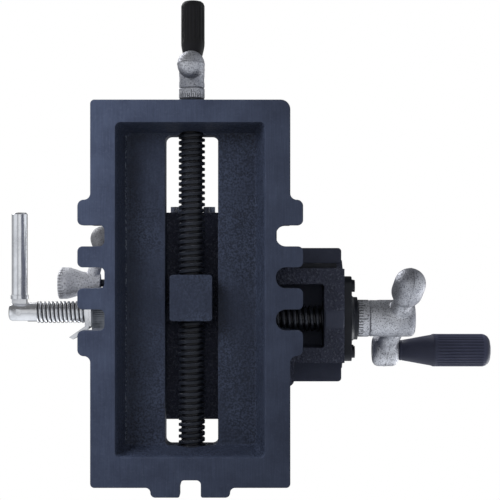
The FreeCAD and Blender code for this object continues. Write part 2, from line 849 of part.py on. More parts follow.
def saddle_gib_screw_shapes(clearance):
    """Set screws through the saddle wall that press on the gib."""
    z = skirt_height + base_way_height / 2
    gib_face = base_way_top / 2 - (base_way_top_z - z) * flank_run + base_gib_room()
    shapes = []
    for y, outer in saddle_gib_screw_places():
        shapes.append(rod(gib_screw_radius + clearance, (gib_face + gib_screw_radius / 2, y, z),
                          (outer + clearance * 10, y, z)))
    return shapes


def saddle_gib_screw_places():
    """Y position of each gib screw and the X of the wall that it enters."""
    y = saddle_rest_y
    near = channel_width / 2 + gib_screw_offset
    far = saddle_block_half + gib_screw_offset
    return [(y - far, saddle_tongue_width / 2 - 1), (y - near, saddle_right - 1),
            (y + near, saddle_right - 1), (y + far, saddle_tongue_width / 2 - 1)]


def saddle_gib_screws():
    """Four socket set screws of the saddle gib."""
    z = skirt_height + base_way_height / 2
    sockets = [hex_bar(gib_screw_socket, (outer - gib_screw_socket, y, z), (outer + 1, y, z))
               for y, outer in saddle_gib_screw_places()]
    return cut(Part.makeCompound(saddle_gib_screw_shapes(0)), sockets)


def hex_bar(across_flats, start, end):
    """Six-sided bar between two points."""
    start = Vector(*start)
    way = Vector(*end) - start
    length = way.Length
    way.normalize()
    first = Vector(0, 0, 1)
    if abs(way.z) > 0.9:
        first = Vector(1, 0, 0)
    second = way.cross(first)
    points = [start + first * a + second * b for a, b in hexagon(across_flats)]
    face = Part.Face(Part.makePolygon(points + [points[0]]))
    return face.extrude(way * length)


def saddle_end_screw_places():
    """X of the two screws in the front face of the saddle tongue."""
    return (-end_screw_spacing / 2, end_screw_spacing / 2)


def saddle_end_screw_shanks(clearance):
    """Shanks of the two end screws."""
    front = saddle_rest_y - saddle_tongue_half
    return [rod(end_screw_radius + clearance, (x, front - 0.5, saddle_end_screw_z),
                (x, front + end_screw_depth, saddle_end_screw_z)) for x in saddle_end_screw_places()]


def saddle_end_screws():
    """Two hexagon screws in the front face of the saddle tongue."""
    front = saddle_rest_y - saddle_tongue_half
    shapes = []
    for x, shank in zip(saddle_end_screw_places(), saddle_end_screw_shanks(0)):
        head = hex_bar(end_screw_head, (x, front, saddle_end_screw_z),
                       (x, front - end_screw_head_height, saddle_end_screw_z))
        shapes.append(fused([shank, head]))
    return Part.makeCompound(shapes)


def bearing_screw_places():
    """Y and Z of the four screws of the cross bearing plate."""
    return [(cross_screw_y + side * bearing_screw_spread_y / 2, plate_centre_z + lift * bearing_screw_spread_z / 2)
            for side in (-1, 1) for lift in (-1, 1)]


def bearing_screw_shanks(clearance):
    """Shanks of the bearing plate's screws."""
    start = arm_reach - bearing_screw_depth
    end = cross_plate_x + bearing_screw_head_height / 4
    return [rod(bearing_screw_radius + clearance, (start, y, z), (end, y, z)) for y, z in bearing_screw_places()]


def cross_bearing_plate():
    """Plate on the end of the arm that locates the cross leadscrew bush."""
    half = bearing_plate_width / 2
    corner = bearing_plate_corner
    plate = bar_x([(cross_screw_y - half, plate_low_z, corner), (cross_screw_y + half, plate_low_z, corner),
                   (cross_screw_y + half, plate_top_z, corner / 3), (cross_screw_y - half, plate_top_z, corner / 3)],
                  arm_reach, cross_plate_x)
    bore = rod(cross_bush_radius + bolt_fit, (arm_reach - 1, cross_screw_y, cross_screw_z),
               (cross_plate_x + 1, cross_screw_y, cross_screw_z))
    return cut(plate, [bore] + bearing_screw_shanks(running_fit))


def bearing_screw(y, z, shank):
    """Socket head screw of the bearing plate."""
    top = cross_plate_x + bearing_screw_head_height
    head = rod(bearing_screw_head_radius, (cross_plate_x, y, z), (top, y, z))
    socket = hex_bar(bearing_screw_socket, (top - bearing_screw_head_height / 2, y, z), (top + 1, y, z))
    return cut(fused([shank, head]), [socket])


def cross_bearing_screws():
    """Four socket head screws of the bearing plate."""
    return Part.makeCompound([bearing_screw(y, z, shank)
                              for (y, z), shank in zip(bearing_screw_places(), bearing_screw_shanks(0))])


def cross_front_bush():
    """Flanged bush that carries the crank end of the cross leadscrew."""
    inner = arm_reach - arm_end_wall
    outer = cross_plate_x + cross_bush_flange
    bush = fused([rod(cross_bush_radius, (inner, cross_screw_y, cross_screw_z),
                      (cross_plate_x, cross_screw_y, cross_screw_z)),
                  rod(cross_bush_flange_radius, (cross_plate_x, cross_screw_y, cross_screw_z),
                      (outer, cross_screw_y, cross_screw_z)),
                  cone(cross_bush_flange_radius + cross_bush_flare, cross_bush_flange_radius,
                       (cross_plate_x, cross_screw_y, cross_screw_z),
                       (cross_plate_x + cross_bush_flare, cross_screw_y, cross_screw_z))])
    return cut(bush, [rod(cross_journal_radius + running_fit, (inner - 1, cross_screw_y, cross_screw_z),
                          (outer + 1, cross_screw_y, cross_screw_z))])


def cross_rear_bush():
    """Plain bush in the far end wall of the saddle channel."""
    start = (-saddle_left, cross_screw_y, cross_screw_z)
    end = (-saddle_left + channel_end_wall, cross_screw_y, cross_screw_z)
    return cut(rod(tail_bush_radius, start, end), [rod(cross_tail_radius + running_fit, start, end)])


def cross_leadscrew():
    """Leadscrew along X: tail journal, threaded length, front journal and crank seat."""
    crank_end = cross_crank_x + cross_hub_length - 0.6
    profile = [(-saddle_left + 0.5, 0), (-saddle_left + 0.5, cross_tail_radius),
               (cross_thread_start, cross_tail_radius), (cross_thread_start, cross_screw_radius),
               (cross_thread_end, cross_screw_radius), (cross_thread_end, cross_journal_radius),
               (cross_dial_x, cross_journal_radius), (cross_dial_x, cross_seat_radius),
               (crank_end, cross_seat_radius), (crank_end, 0)]
    screw = turned(profile, (0, cross_screw_y, cross_screw_z), (1, 0, 0))
    return cut(screw, [cross_pin_hole(running_fit)])


def cross_dial():
    """Graduated collar of the cross leadscrew."""
    return dial(cross_hub_radius, cross_seat_radius, (cross_dial_x, cross_screw_y, cross_screw_z),
                (cross_crank_x, cross_screw_y, cross_screw_z))


def cross_nut_bolt_places():
    """X and Y of the two bolts of the cross nut."""
    return [(cross_nut_x, cross_screw_y + side * cross_nut_bolt_spacing / 2) for side in (-1, 1)]


def cross_nut_bolt_shanks(clearance):
    """Shanks of the cross nut's bolts, from their seat up into the vise body."""
    low = cross_screw_z - cross_nut_drop + cross_nut_bolt_seat
    return [rod(nut_bolt_radius + clearance, (x, y, low - 0.5), (x, y, keeper_floor - 1))
            for x, y in cross_nut_bolt_places()]


def cross_nut_bolt_heads(clearance, low):
    """Heads of the cross nut's bolts, sunk into the nut from below."""
    return [rod(nut_bolt_head_radius + clearance, (x, y, low),
                (x, y, cross_screw_z - cross_nut_drop + cross_nut_bolt_seat)) for x, y in cross_nut_bolt_places()]


def cross_nut():
    """Block nut under the vise body that rides on the cross leadscrew."""
    low = cross_screw_z - cross_nut_drop
    half_x = cross_nut_length / 2
    half_y = cross_nut_width / 2
    block = plate_z(rectangle(cross_nut_x - half_x, cross_nut_x + half_x, cross_screw_y - half_y,
                              cross_screw_y + half_y, nut_corner), low, relief_z)
    bore = rod(cross_screw_radius + running_fit, (cross_nut_x - cross_nut_length, cross_screw_y, cross_screw_z),
               (cross_nut_x + cross_nut_length, cross_screw_y, cross_screw_z))
    holes = cross_nut_bolt_shanks(running_fit) + cross_nut_bolt_heads(0.3, low - 1)
    return cut(block, [bore] + holes)


def cross_nut_bolts():
    """Two cap screws that hold the cross nut under the vise body."""
    low = cross_screw_z - cross_nut_drop
    shapes = [fused([shank, head]) for shank, head in
              zip(cross_nut_bolt_shanks(0), cross_nut_bolt_heads(0, low + 0.2))]
    return Part.makeCompound(shapes)


def cross_gib_screw_places():
    """X of the three gib screws of the vise body."""
    return [-0.71 * vise_left, (vise_right - vise_left) / 2 - vise_gib_screw_shift, 0.53 * vise_right]


def cross_gib_screw_shapes(clearance):
    """Gib screws through the front wall of the vise body."""
    z = cross_way_z + cross_way_height / 2
    outer = vise_y - vise_width / 2
    gib_face = saddle_rest_y - cross_neck_width / 2 - (z - cross_way_z) * flank_run - cross_gib_room()
    return [rod(vise_gib_screw_radius + clearance, (x, gib_face - 1.6, z), (x, outer - vise_gib_screw_standout, z))
            for x in cross_gib_screw_places()]


def vise_gib_screws():
    """Three socket set screws of the vise gib."""
    z = cross_way_z + cross_way_height / 2
    outer = vise_y - vise_width / 2
    tip = outer - vise_gib_screw_standout
    sockets = [hex_bar(vise_gib_screw_socket, (x, tip + vise_gib_screw_socket, z), (x, tip - 1, z))
               for x in cross_gib_screw_places()]
    return cut(Part.makeCompound(cross_gib_screw_shapes(0)), sockets)


def vise_gib_locknuts():
    """Hexagon locknuts on the gib screws."""
    z = cross_way_z + cross_way_height / 2
    outer = vise_y - vise_width / 2
    nuts = []
    for x in cross_gib_screw_places():
        nut = hex_bar(locknut_width, (x, outer, z), (x, outer - locknut_height, z))
        bore = rod(vise_gib_screw_radius + running_fit, (x, outer + 1, z), (x, outer - locknut_height - 1, z))
        nuts.append(cut(nut, [bore]))
    return Part.makeCompound(nuts)


def vise_gib():
    """Thin strip that takes up play between the vise body and the cross dovetail."""
    neck = cross_neck_width / 2
    low = cross_way_z + rail_clearance * 0.3
    high = cross_way_top_z - 0.2
    room = cross_gib_room()
    inner_low = saddle_rest_y - neck - (low - cross_way_z) * flank_run
    inner_high = saddle_rest_y - neck - (high - cross_way_z) * flank_run
    return bar_x([(inner_low - room, low, 0), (inner_low - way_fit, low, 0), (inner_high - way_fit, high, 0),
                  (inner_high - room, high, 0)], -vise_left + 1, vise_right - cross_gib_end_gap)


def jaw_screw_places():
    """Y of the two screws of a jaw plate."""
    return (vise_y - jaw_screw_spacing / 2, vise_y + jaw_screw_spacing / 2)


def jaw_screw_shanks(face_x, inward, clearance):
    """Shanks of the two countersunk screws of a jaw plate."""
    start = face_x + inward * jaw_screw_sink
    end = face_x + inward * (jaw_plate_thickness + jaw_screw_grip)
    return [rod(jaw_screw_radius + clearance, (start, y, jaw_screw_z), (end, y, jaw_screw_z))
            for y in jaw_screw_places()]


def jaw_screw_heads(face_x, inward, clearance):
    """Countersunk heads just below the face of the jaw plate."""
    start = face_x + inward * jaw_screw_sink
    end = start + inward * (jaw_screw_head_radius - jaw_screw_radius)
    return [cone(jaw_screw_head_radius + clearance, jaw_screw_radius + clearance, (start, y, jaw_screw_z),
                 (end, y, jaw_screw_z)) for y in jaw_screw_places()]


def jaw_screws(face_x, inward):
    """Two countersunk socket screws."""
    shapes = []
    for y, shank, head in zip(jaw_screw_places(), jaw_screw_shanks(face_x, inward, 0),
                              jaw_screw_heads(face_x, inward, 0)):
        socket = hex_bar(jaw_screw_socket, (face_x, y, jaw_screw_z), (face_x + inward * 3, y, jaw_screw_z))
        shapes.append(cut(fused([shank, head]), [socket]))
    return Part.makeCompound(shapes)


def jaw_plate(face_x, inward):
    """Hardened jaw plate with two countersunk screw holes."""
    back_x = face_x + inward * jaw_plate_thickness
    half = jaw_width / 2
    plate = box((min(face_x, back_x), vise_y - half, jaw_plate_z),
                (max(face_x, back_x), vise_y + half, jaw_plate_z + jaw_plate_height))
    mouths = [rod(jaw_screw_head_radius + bolt_fit, (face_x - inward, y, jaw_screw_z),
                  (face_x + inward * jaw_screw_sink, y, jaw_screw_z)) for y in jaw_screw_places()]
    tools = jaw_screw_shanks(face_x, inward, bolt_fit) + jaw_screw_heads(face_x, inward, bolt_fit) + mouths
    return cut(plate, tools)


def fixed_jaw_plate():
    """Plain plate of the fixed jaw."""
    return jaw_plate(fixed_face_x, 1)


def fixed_jaw_screws():
    """Screws of the fixed jaw's plate."""
    return jaw_screws(fixed_face_x, 1)


def movable_jaw_screws():
    """Screws of the movable jaw's plate."""
    return jaw_screws(movable_face_x, -1)


def movable_jaw_plate():
    """Jaw plate with one level and one upright vee groove for round work."""
    plate = jaw_plate(movable_face_x, -1)
    half = vee_width / 2
    z = jaw_plate_z + jaw_plate_height * 0.72
    level = bar_y([(movable_face_x + 0.01, z - half, 0), (movable_face_x + 0.01, z + half, 0),
                   (movable_face_x - half * 0.8, z, 0)], vise_y - jaw_width, vise_y + jaw_width)
    upright = plate_z([(movable_face_x + 0.01, vise_y - half, 0), (movable_face_x + 0.01, vise_y + half, 0),
                       (movable_face_x - half * 0.8, vise_y, 0)], bed_height, jaw_top + 5)
    return cut(plate, [level, upright])


def lock_stud_shape(clearance):
    """Threaded stud from the boss to the clamping lever."""
    x = -vise_left
    return rod(lock_stud_radius + clearance, (x - lock_stud_standout - lock_hub_length * 0.6, lock_y, lock_z),
               (x + boss_thickness * 0.6 + clearance * 5, lock_y, lock_z))


def vise_body():
    """Vise body: dovetail below, bed with keeper slot, fixed jaw at the right and screw boss at the left."""
    half = vise_width / 2
    low = cross_way_z + rail_clearance * 0.3
    bed = plate_z(rectangle(-vise_left, vise_right, vise_y - half, vise_y + half, vise_corner), low, bed_height)
    jaw_half = jaw_width / 2
    back = vise_right
    seat_x = fixed_face_x + jaw_plate_thickness
    profile = [(seat_x, bed_height - 1, 0), (back, bed_height - 1, 0), (back, bed_height + jaw_shoulder, 4),
               (back - jaw_back_slope, jaw_top, 4), (seat_x, jaw_top, 1.5)]
    jaw = bar_y(profile, vise_y - jaw_half, vise_y + jaw_half)
    boss = bar_x([(vise_y - boss_half_width, bed_height - 1, 0), (vise_y + boss_half_width, bed_height - 1, 0),
                  (vise_y + boss_half_width, boss_top, boss_corner),
                  (vise_y - boss_half_width, boss_top, boss_corner)], -vise_left, boss_face_x)
    body = fused([bed, jaw, boss])
    cavity = bar_x(cross_way_section(cross_gib_room(), low - 1, cross_way_top_z, way_fit), -vise_left - 1,
                   vise_right + 1)
    relief = box((-vise_left - 1, saddle_rest_y - channel_width / 2 - 1, cross_way_top_z - 1),
                 (vise_right + 1, saddle_rest_y + channel_width / 2 + 1, relief_z))
    slot = box((-vise_left - 1, vise_y - slot_width / 2, keeper_floor),
               (seat_x - 1, vise_y + slot_width / 2, bed_height))
    keeper_slot = box((-vise_left - 1, vise_y - keeper_slot_width / 2, keeper_floor),
                      (seat_x - 1, vise_y + keeper_slot_width / 2, bed_height - rail_thickness))
    bush_bore = rod(bush_shank_radius, (-vise_left - 1, vise_y, vise_screw_z),
                    (boss_face_x + 1, vise_y, vise_screw_z))
    holes = jaw_screw_shanks(fixed_face_x, 1, running_fit) + cross_gib_screw_shapes(running_fit)
    holes += cross_nut_bolt_shanks(running_fit) + [lock_stud_shape(running_fit)]
    return cut(body, [cavity, relief, slot, keeper_slot, bush_bore] + holes)


def screw_bush():
    """Flanged bush in the boss with a bore for the vise screw."""
    shank = rod(bush_shank_radius, (-vise_left, vise_y, vise_screw_z), (boss_face_x, vise_y, vise_screw_z))
    flange = rod(bush_flange_radius, (bush_face_x, vise_y, vise_screw_z), (-vise_left, vise_y, vise_screw_z))
    bore = rod(vise_screw_radius + running_fit, (bush_face_x - 1, vise_y, vise_screw_z),
               (boss_face_x + 1, vise_y, vise_screw_z))
    return cut(fused([shank, flange]), [bore])


def bent_plate(back_x, thickness, length):
    """Plate on the bush face with one wing bent outward."""
    half = tab_plate_half
    bend = math.radians(tab_angle)
    along = (-math.sin(bend), math.cos(bend))
    knee_y = vise_y + half - tab_knee_inset
    inner = (back_x, knee_y + thickness * math.tan(bend / 2))
    outer = (back_x - thickness, knee_y)
    corners = [(back_x, vise_y - half, 0), inner + (0,),
               (inner[0] + along[0] * length, inner[1] + along[1] * length, 0),
               (outer[0] + along[0] * length, outer[1] + along[1] * length, 0), outer + (0,),
               (back_x - thickness, vise_y - half, 0)]
    plate = plate_z(corners, vise_screw_z - half, vise_screw_z + half)
    hole = rod(vise_screw_radius + tab_hole_clearance, (back_x + 1, vise_y, vise_screw_z),
               (back_x - tab_hole_depth, vise_y, vise_screw_z))
    return cut(plate, [hole])


def tab_plate():
    """Locking plate with its wing bent away from the bush."""
    return bent_plate(tab_plate_x, tab_plate_thickness, tab_length)


def tab_washer():
    """Thin square washer between the bent plate and the bush."""
    half = tab_plate_half
    washer = box((tab_plate_x, vise_y - half, vise_screw_z - half),
                 (bush_face_x, vise_y + half - 1, vise_screw_z + half))
    hole = rod(vise_screw_radius + 0.4, (tab_plate_x - 1, vise_y, vise_screw_z),
               (bush_face_x + 1, vise_y, vise_screw_z))
    return cut(washer, [hole])


def movable_jaw():
    """Movable jaw block with a tongue in the bed slot and a seat for the screw end."""
    half = jaw_width / 2
    profile = [(jaw_front_x, bed_height, 0), (jaw_front_x, jaw_top, 1.5), (jaw_back_x + jaw_back_slope, jaw_top, 4),
               (jaw_back_x, bed_height + jaw_shoulder, 4), (jaw_back_x, bed_height, 0)]
    block = bar_y(profile, vise_y - half, vise_y + half)
    nose = box((jaw_back_x, vise_y - jaw_nose_half, jaw_plate_z),
               (jaw_front_x - 5, vise_y + jaw_nose_half, vise_screw_z + jaw_nose_rise))
    tongue = box((jaw_back_x + 2, vise_y - slot_width / 2 + 0.1, bed_height - rail_thickness - 0.2),
                 (jaw_front_x - 2, vise_y + slot_width / 2 - 0.1, bed_height + 1))
    body = fused([block, nose, tongue])
    collar_room = rod(collar_radius + 0.3, (jaw_back_x - 1, vise_y, vise_screw_z),
                      (jaw_back_x + collar_thickness + 1, vise_y, vise_screw_z))
    journal_bore = rod(vise_journal_radius + running_fit, (jaw_back_x, vise_y, vise_screw_z),
                       (jaw_back_x + journal_depth + 1, vise_y, vise_screw_z))
    holes = jaw_screw_shanks(movable_face_x, -1, running_fit) + keeper_bolt_shanks(running_fit)
    holes += retainer_screw_shanks(running_fit)
    return cut(body, [collar_room, journal_bore] + holes)


def keeper_bolt_places():
    """X of the two keeper bolts."""
    return [jaw_back_x + movable_jaw_length * share for share in (0.27, 0.73)]


def keeper_bolt_shanks(clearance):
    """Shanks of the keeper bolts."""
    low = keeper_low + keeper_bolt_seat - 0.2
    return [rod(keeper_bolt_radius + clearance, (x, vise_y, low), (x, vise_y, bed_height - 1 + clearance))
            for x in keeper_bolt_places()]


def keeper_bolt_heads(clearance, low):
    """Heads of the keeper bolts, sunk into the keeper plate."""
    return [rod(keeper_bolt_head_radius + clearance, (x, vise_y, low), (x, vise_y, keeper_low + keeper_bolt_seat))
            for x in keeper_bolt_places()]


def jaw_keeper():
    """Keeper plate under the bed rails that holds the movable jaw down."""
    half = keeper_slot_width / 2 - 0.3
    plate = box((jaw_back_x + 2, vise_y - half, keeper_low), (jaw_front_x - 2, vise_y + half, keeper_top))
    return cut(plate, keeper_bolt_shanks(running_fit) + keeper_bolt_heads(0.2, keeper_low - 1))


def jaw_keeper_bolts():
    """Two bolts from the keeper plate up into the jaw's tongue."""
    return Part.makeCompound([fused([shank, head]) for shank, head in
                              zip(keeper_bolt_shanks(0), keeper_bolt_heads(0, keeper_low + 0.2))])


def retainer_screw_places():
    """Y of the two retainer screws."""
    return (vise_y - retainer_screw_spread, vise_y + retainer_screw_spread)


def retainer_screw_shanks(clearance):
    """Shanks of the two retainer screws."""
    start = jaw_back_x - retainer_thickness - 0.5
    end = jaw_back_x + retainer_screw_depth
    return [rod(retainer_screw_radius + clearance, (start, y, vise_screw_z), (end, y, vise_screw_z))
            for y in retainer_screw_places()]


def screw_retainer():
    """Plate behind the movable jaw that keeps the screw collar in its seat."""
    face = jaw_back_x - retainer_thickness
    plate = bar_x(rectangle(vise_y - retainer_half, vise_y + retainer_half, vise_screw_z - retainer_rise,
                            vise_screw_z + retainer_rise, retainer_corner), face, jaw_back_x)
    hole = rod(vise_journal_radius + 0.3, (face - 1, vise_y, vise_screw_z), (jaw_back_x + 1, vise_y, vise_screw_z))
    return cut(plate, [hole] + retainer_screw_shanks(running_fit))


def retainer_screws():
    """Two round head screws of the collar retainer."""
    face = jaw_back_x - retainer_thickness
    shapes = []
    for y, shank in zip(retainer_screw_places(), retainer_screw_shanks(0)):
        head = rod(retainer_screw_radius * 1.5, (face, y, vise_screw_z), (face - retainer_screw_head, y, vise_screw_z))
        shapes.append(fused([shank, head]))
    return Part.makeCompound(shapes)


def screw_collar():
    """Collar on the screw journal inside the movable jaw."""
    start = (jaw_back_x + end_play, vise_y, vise_screw_z)
    end = (jaw_back_x + end_play + collar_thickness, vise_y, vise_screw_z)
    return cut(rod(collar_radius, start, end), [rod(vise_journal_radius + running_fit, start, end)])


def vise_screw():
    """Clamping screw: forked head, threaded length and journal in the movable jaw."""
    head_x = thread_start_x - screw_head_length
    thread_end = jaw_back_x - retainer_thickness - 2.5
    round_off = 2.5
    profile = [(head_x, 0), (head_x, screw_head_radius - round_off),
               (head_x + round_off * 0.3, screw_head_radius - round_off * 0.3),
               (head_x + round_off, screw_head_radius), (thread_start_x, screw_head_radius),
               (thread_start_x, vise_screw_radius), (thread_end, vise_screw_radius),
               (thread_end, vise_journal_radius), (jaw_back_x + journal_depth, vise_journal_radius),
               (jaw_back_x + journal_depth, 0)]
    screw = turned(profile, (0, vise_y, vise_screw_z), (1, 0, 0))
    half = handle_tongue / 2 + bolt_fit
    side = screw_head_radius + 3
    slot = box((head_x - 1, vise_y - side, vise_screw_z - half),
               (handle_x + handle_slot_depth, vise_y + side, vise_screw_z + half))
    return cut(screw, [slot, handle_pin_shape(running_fit)])


def handle_pin_shape(clearance):
    """Pin through both cheeks of the screw head."""
    half = screw_head_radius - 0.2
    return rod(handle_pin_radius + clearance, (handle_x, vise_y, vise_screw_z - half - clearance * 10),
               (handle_x, vise_y, vise_screw_z + half + clearance * 10))


def handle_pin():
    """Pin on which the handle folds."""
    return handle_pin_shape(0)


def handle_bar():
    """Folding handle: flat tongue in the fork, shoulder ring and round bar."""
    root = handle_root
    half = handle_tongue / 2
    eye = rod(handle_radius - 0.4, (handle_x, vise_y, vise_screw_z - half), (handle_x, vise_y, vise_screw_z + half))
    tongue = box((handle_x - handle_radius + 0.4, vise_y - root - 1, vise_screw_z - half),
                 (handle_x + handle_radius - 0.4, vise_y, vise_screw_z + half))
    ring = rod(handle_ring_radius, (handle_x, vise_y - root, vise_screw_z),
               (handle_x, vise_y - root - handle_ring_length, vise_screw_z))
    end_y = vise_y - handle_length
    bar = rod(handle_radius, (handle_x, vise_y - root, vise_screw_z), (handle_x, end_y, vise_screw_z))
    tip = [edge for edge in bar.Edges if edge.CenterOfMass.y < end_y + 0.01]
    bar = bar.makeChamfer(1.2, tip)
    body = fused([eye, tongue, ring, bar])
    return cut(body, [handle_pin_shape(running_fit)])


def lock_lever():
    """Cast clamping lever: tapered hub on the stud with an arm that ends in a bulb."""
    outer = lock_hub_start - lock_hub_length
    inner = lock_hub_start + lock_neck_length
    profile = [(outer, 0), (outer, lock_hub_radius - 1.0), (outer + 1.0, lock_hub_radius),
               (outer + lock_hub_collar, lock_hub_radius - lock_hub_collar_taper),
               (lock_hub_start, lock_hub_neck_radius),
               (inner, lock_hub_neck_radius), (inner, 0)]
    hub = turned(profile, (0, lock_y, lock_z), (1, 0, 0))
    bore = rod(lock_stud_radius + running_fit, (inner + 1, lock_y, lock_z),
               (lock_hub_start - lock_hub_length * 0.6, lock_y, lock_z))
    root = (lock_hub_start + 1.0, lock_y - lock_stud_radius - 1.0, lock_z)
    tip = (lock_hub_start + 2.5, lock_y - lock_arm_length, lock_z)
    arm = cone(lock_arm_radius, lock_arm_radius * 0.8, root, tip)
    bulb = ball_along(lock_bulb_radius, tip, Vector(*tip) - Vector(*root))
    return fused([cut(hub, [bore]), arm, bulb])


def lock_stud():
    """Stud that carries the clamping lever."""
    return lock_stud_shape(0)


PIECES = [
    base_casting, base_front_bush, base_rear_bush, base_leadscrew, base_dial, base_crank, base_crank_pin,
    base_grip_spindle, base_grip,
    saddle_casting, base_nut, base_nut_screw, saddle_gib, saddle_gib_screws, saddle_end_screws,
    cross_bearing_plate, cross_bearing_screws, cross_front_bush, cross_rear_bush,
    cross_leadscrew, cross_dial, cross_crank, cross_crank_pin, cross_grip_spindle, cross_grip,
    vise_body, cross_nut, cross_nut_bolts, vise_gib, vise_gib_screws, vise_gib_locknuts,
    fixed_jaw_plate, fixed_jaw_screws, screw_bush, tab_washer, tab_plate, lock_stud, lock_lever,
    movable_jaw, movable_jaw_plate, movable_jaw_screws, jaw_keeper, jaw_keeper_bolts,
    screw_retainer, retainer_screws,
    vise_screw, screw_collar, handle_pin, handle_bar,
]


def save(build):
    """Write one piece as a STEP file named after it."""
    shape = build()
    if not shape.isValid():
        raise ValueError(build.__name__ + " is not a valid shape")
    if len(shape.Solids) == 1:
        shape = shape.Solids[0]
    shape.exportStep("parts/" + build.__name__ + ".step")
    print(build.__name__, len(shape.Solids), round(shape.Volume))


os.makedirs("parts", exist_ok=True)
for piece in PIECES:
    save(piece)
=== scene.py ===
import math

import bmesh
import bpy
from mathutils import Matrix, Vector


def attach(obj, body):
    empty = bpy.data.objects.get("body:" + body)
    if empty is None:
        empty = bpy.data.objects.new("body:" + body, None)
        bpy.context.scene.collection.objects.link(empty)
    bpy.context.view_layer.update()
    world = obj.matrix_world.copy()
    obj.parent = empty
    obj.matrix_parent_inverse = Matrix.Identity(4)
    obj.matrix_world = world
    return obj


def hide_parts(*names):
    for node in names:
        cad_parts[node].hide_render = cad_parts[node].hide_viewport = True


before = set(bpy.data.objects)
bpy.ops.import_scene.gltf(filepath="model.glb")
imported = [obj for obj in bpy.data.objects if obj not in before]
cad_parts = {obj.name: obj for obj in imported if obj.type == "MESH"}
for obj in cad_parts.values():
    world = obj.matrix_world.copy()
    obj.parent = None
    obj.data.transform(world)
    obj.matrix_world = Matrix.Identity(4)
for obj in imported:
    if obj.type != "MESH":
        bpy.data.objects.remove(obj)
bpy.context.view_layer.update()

# Camera: straight below the vise and about a metre away, as for the photograph, with
# the small crank at the top of the picture and the large one at the right.
mm = 0.001
scene = bpy.context.scene
camera_data = bpy.data.cameras.new("underside_camera")
camera_data.sensor_width = 36
camera_data.lens = 108.4
camera = bpy.data.objects.new("underside_camera", camera_data)
camera.location = (39.7 * mm, -29.06 * mm, -1000 * mm)
camera.rotation_euler = (math.pi, 0, 0)
scene.collection.objects.link(camera)
scene.camera = camera
scene.view_settings.view_transform = "Standard"


# Surroundings: plain white to the camera. Metal mirrors walls that grow paler towards
# a window, a soft pale board on the far side and a dim ceiling, and the light that
# falls on the vise is a soft grey, stronger from above.
def node(tree, kind, settings=None, **values):
    """One shader node, its sockets set or joined by name, or by number as _0 and _1."""
    made = tree.nodes.new("ShaderNode" + kind)
    for name, value in (settings or {}).items():
        setattr(made, name, value)
    for name, value in values.items():
        socket = made.inputs[int(name[1:]) if name[0] == "_" else name.replace("_", " ")]
        if isinstance(value, bpy.types.NodeSocket):
            tree.links.new(value, socket)
        else:
            socket.default_value = value
    return made


def ramp(tree, value, start, end, low=0.0, high=1.0, curve="LINEAR"):
    """Value that goes from low to high while another one goes from start to end."""
    return node(tree, "MapRange", {"interpolation_type": curve}, Value=value, From_Min=start,
                From_Max=end, To_Min=low, To_Max=high).outputs[0]


def times(tree, first, second):
    """Product of two values."""
    return node(tree, "Math", {"operation": "MULTIPLY"}, _0=first, _1=second).outputs[0]


world = bpy.data.worlds.new("studio_room")
world.use_nodes = True
scene.world = world
room = world.node_tree
room.nodes.clear()
ray = node(room, "LightPath")
seen = node(room, "Math", {"operation": "MAXIMUM"}, _0=ray.outputs["Is Camera Ray"],
            _1=ray.outputs["Is Transmission Ray"])
direction = node(room, "TexCoord").outputs["Generated"]
upward = node(room, "SeparateXYZ", Vector=direction).outputs["Z"]
window_side = node(room, "VectorMath", {"operation": "DOT_PRODUCT"}, _0=direction,
                   _1=(0.42, 0.83, 0.30)).outputs["Value"]
board_side = node(room, "VectorMath", {"operation": "DOT_PRODUCT"}, _0=direction,
                  _1=(-0.82, 0.10, -0.56)).outputs["Value"]
walls = ramp(room, window_side, -0.80, 0.75, 0.03, 1.25)
board = ramp(room, board_side, 0.80, 0.96, 0.0, 0.55, "SMOOTHSTEP")
sides = node(room, "Math", {"operation": "ADD"}, _0=walls, _1=board)
ceiling = ramp(room, upward, 0.45, 0.88, 1.0, 0.10)
mirrored = times(room, sides.outputs[0], ceiling)
falling = ramp(room, upward, -0.7, 0.5, 0.07, 0.62)
level = node(room, "Mix", {"data_type": "FLOAT"}, _0=ray.outputs["Is Glossy Ray"],
             _2=falling, _3=mirrored)
soft = node(room, "Background", Color=(0.93, 0.96, 1.0, 1), Strength=level.outputs[0])
white = node(room, "Background", Color=(1, 1, 1, 1), Strength=1.0)
blend = node(room, "MixShader", _0=seen.outputs[0], _1=soft.outputs[0], _2=white.outputs[0])
node(room, "OutputWorld", Surface=blend.outputs[0])

# Floor: pale, matt and level, just clear of the base's foot. It is seen only from
# above, so that the underside can be photographed through it.
floor_drop = 0.4
floor_reach = 3.0
bm = bmesh.new()
bmesh.ops.create_grid(bm, x_segments=1, y_segments=1, size=floor_reach)
floor_mesh = bpy.data.meshes.new("floor")
bm.to_mesh(floor_mesh)
bm.free()
floor = bpy.data.objects.new("floor", floor_mesh)
floor.location.z = -floor_drop * mm
scene.collection.objects.link(floor)
floor_material = bpy.data.materials.new("pale_floor")
floor_material.use_nodes = True
tree = floor_material.node_tree
tree.nodes.clear()
ray = node(tree, "LightPath")
above = node(tree, "Math", {"operation": "SUBTRACT"}, _0=1.0,
             _1=node(tree, "NewGeometry").outputs["Backfacing"])
shown = times(tree, ray.outputs["Is Camera Ray"], above.outputs[0])
matt = node(tree, "BsdfDiffuse", Color=(0.86, 0.86, 0.86, 1))
clear = node(tree, "BsdfTransparent")
blend = node(tree, "MixShader", _0=shown, _1=clear.outputs[0], _2=matt.outputs[0])
node(tree, "OutputMaterial", Surface=blend.outputs[0])
floor_mesh.materials.append(floor_material)

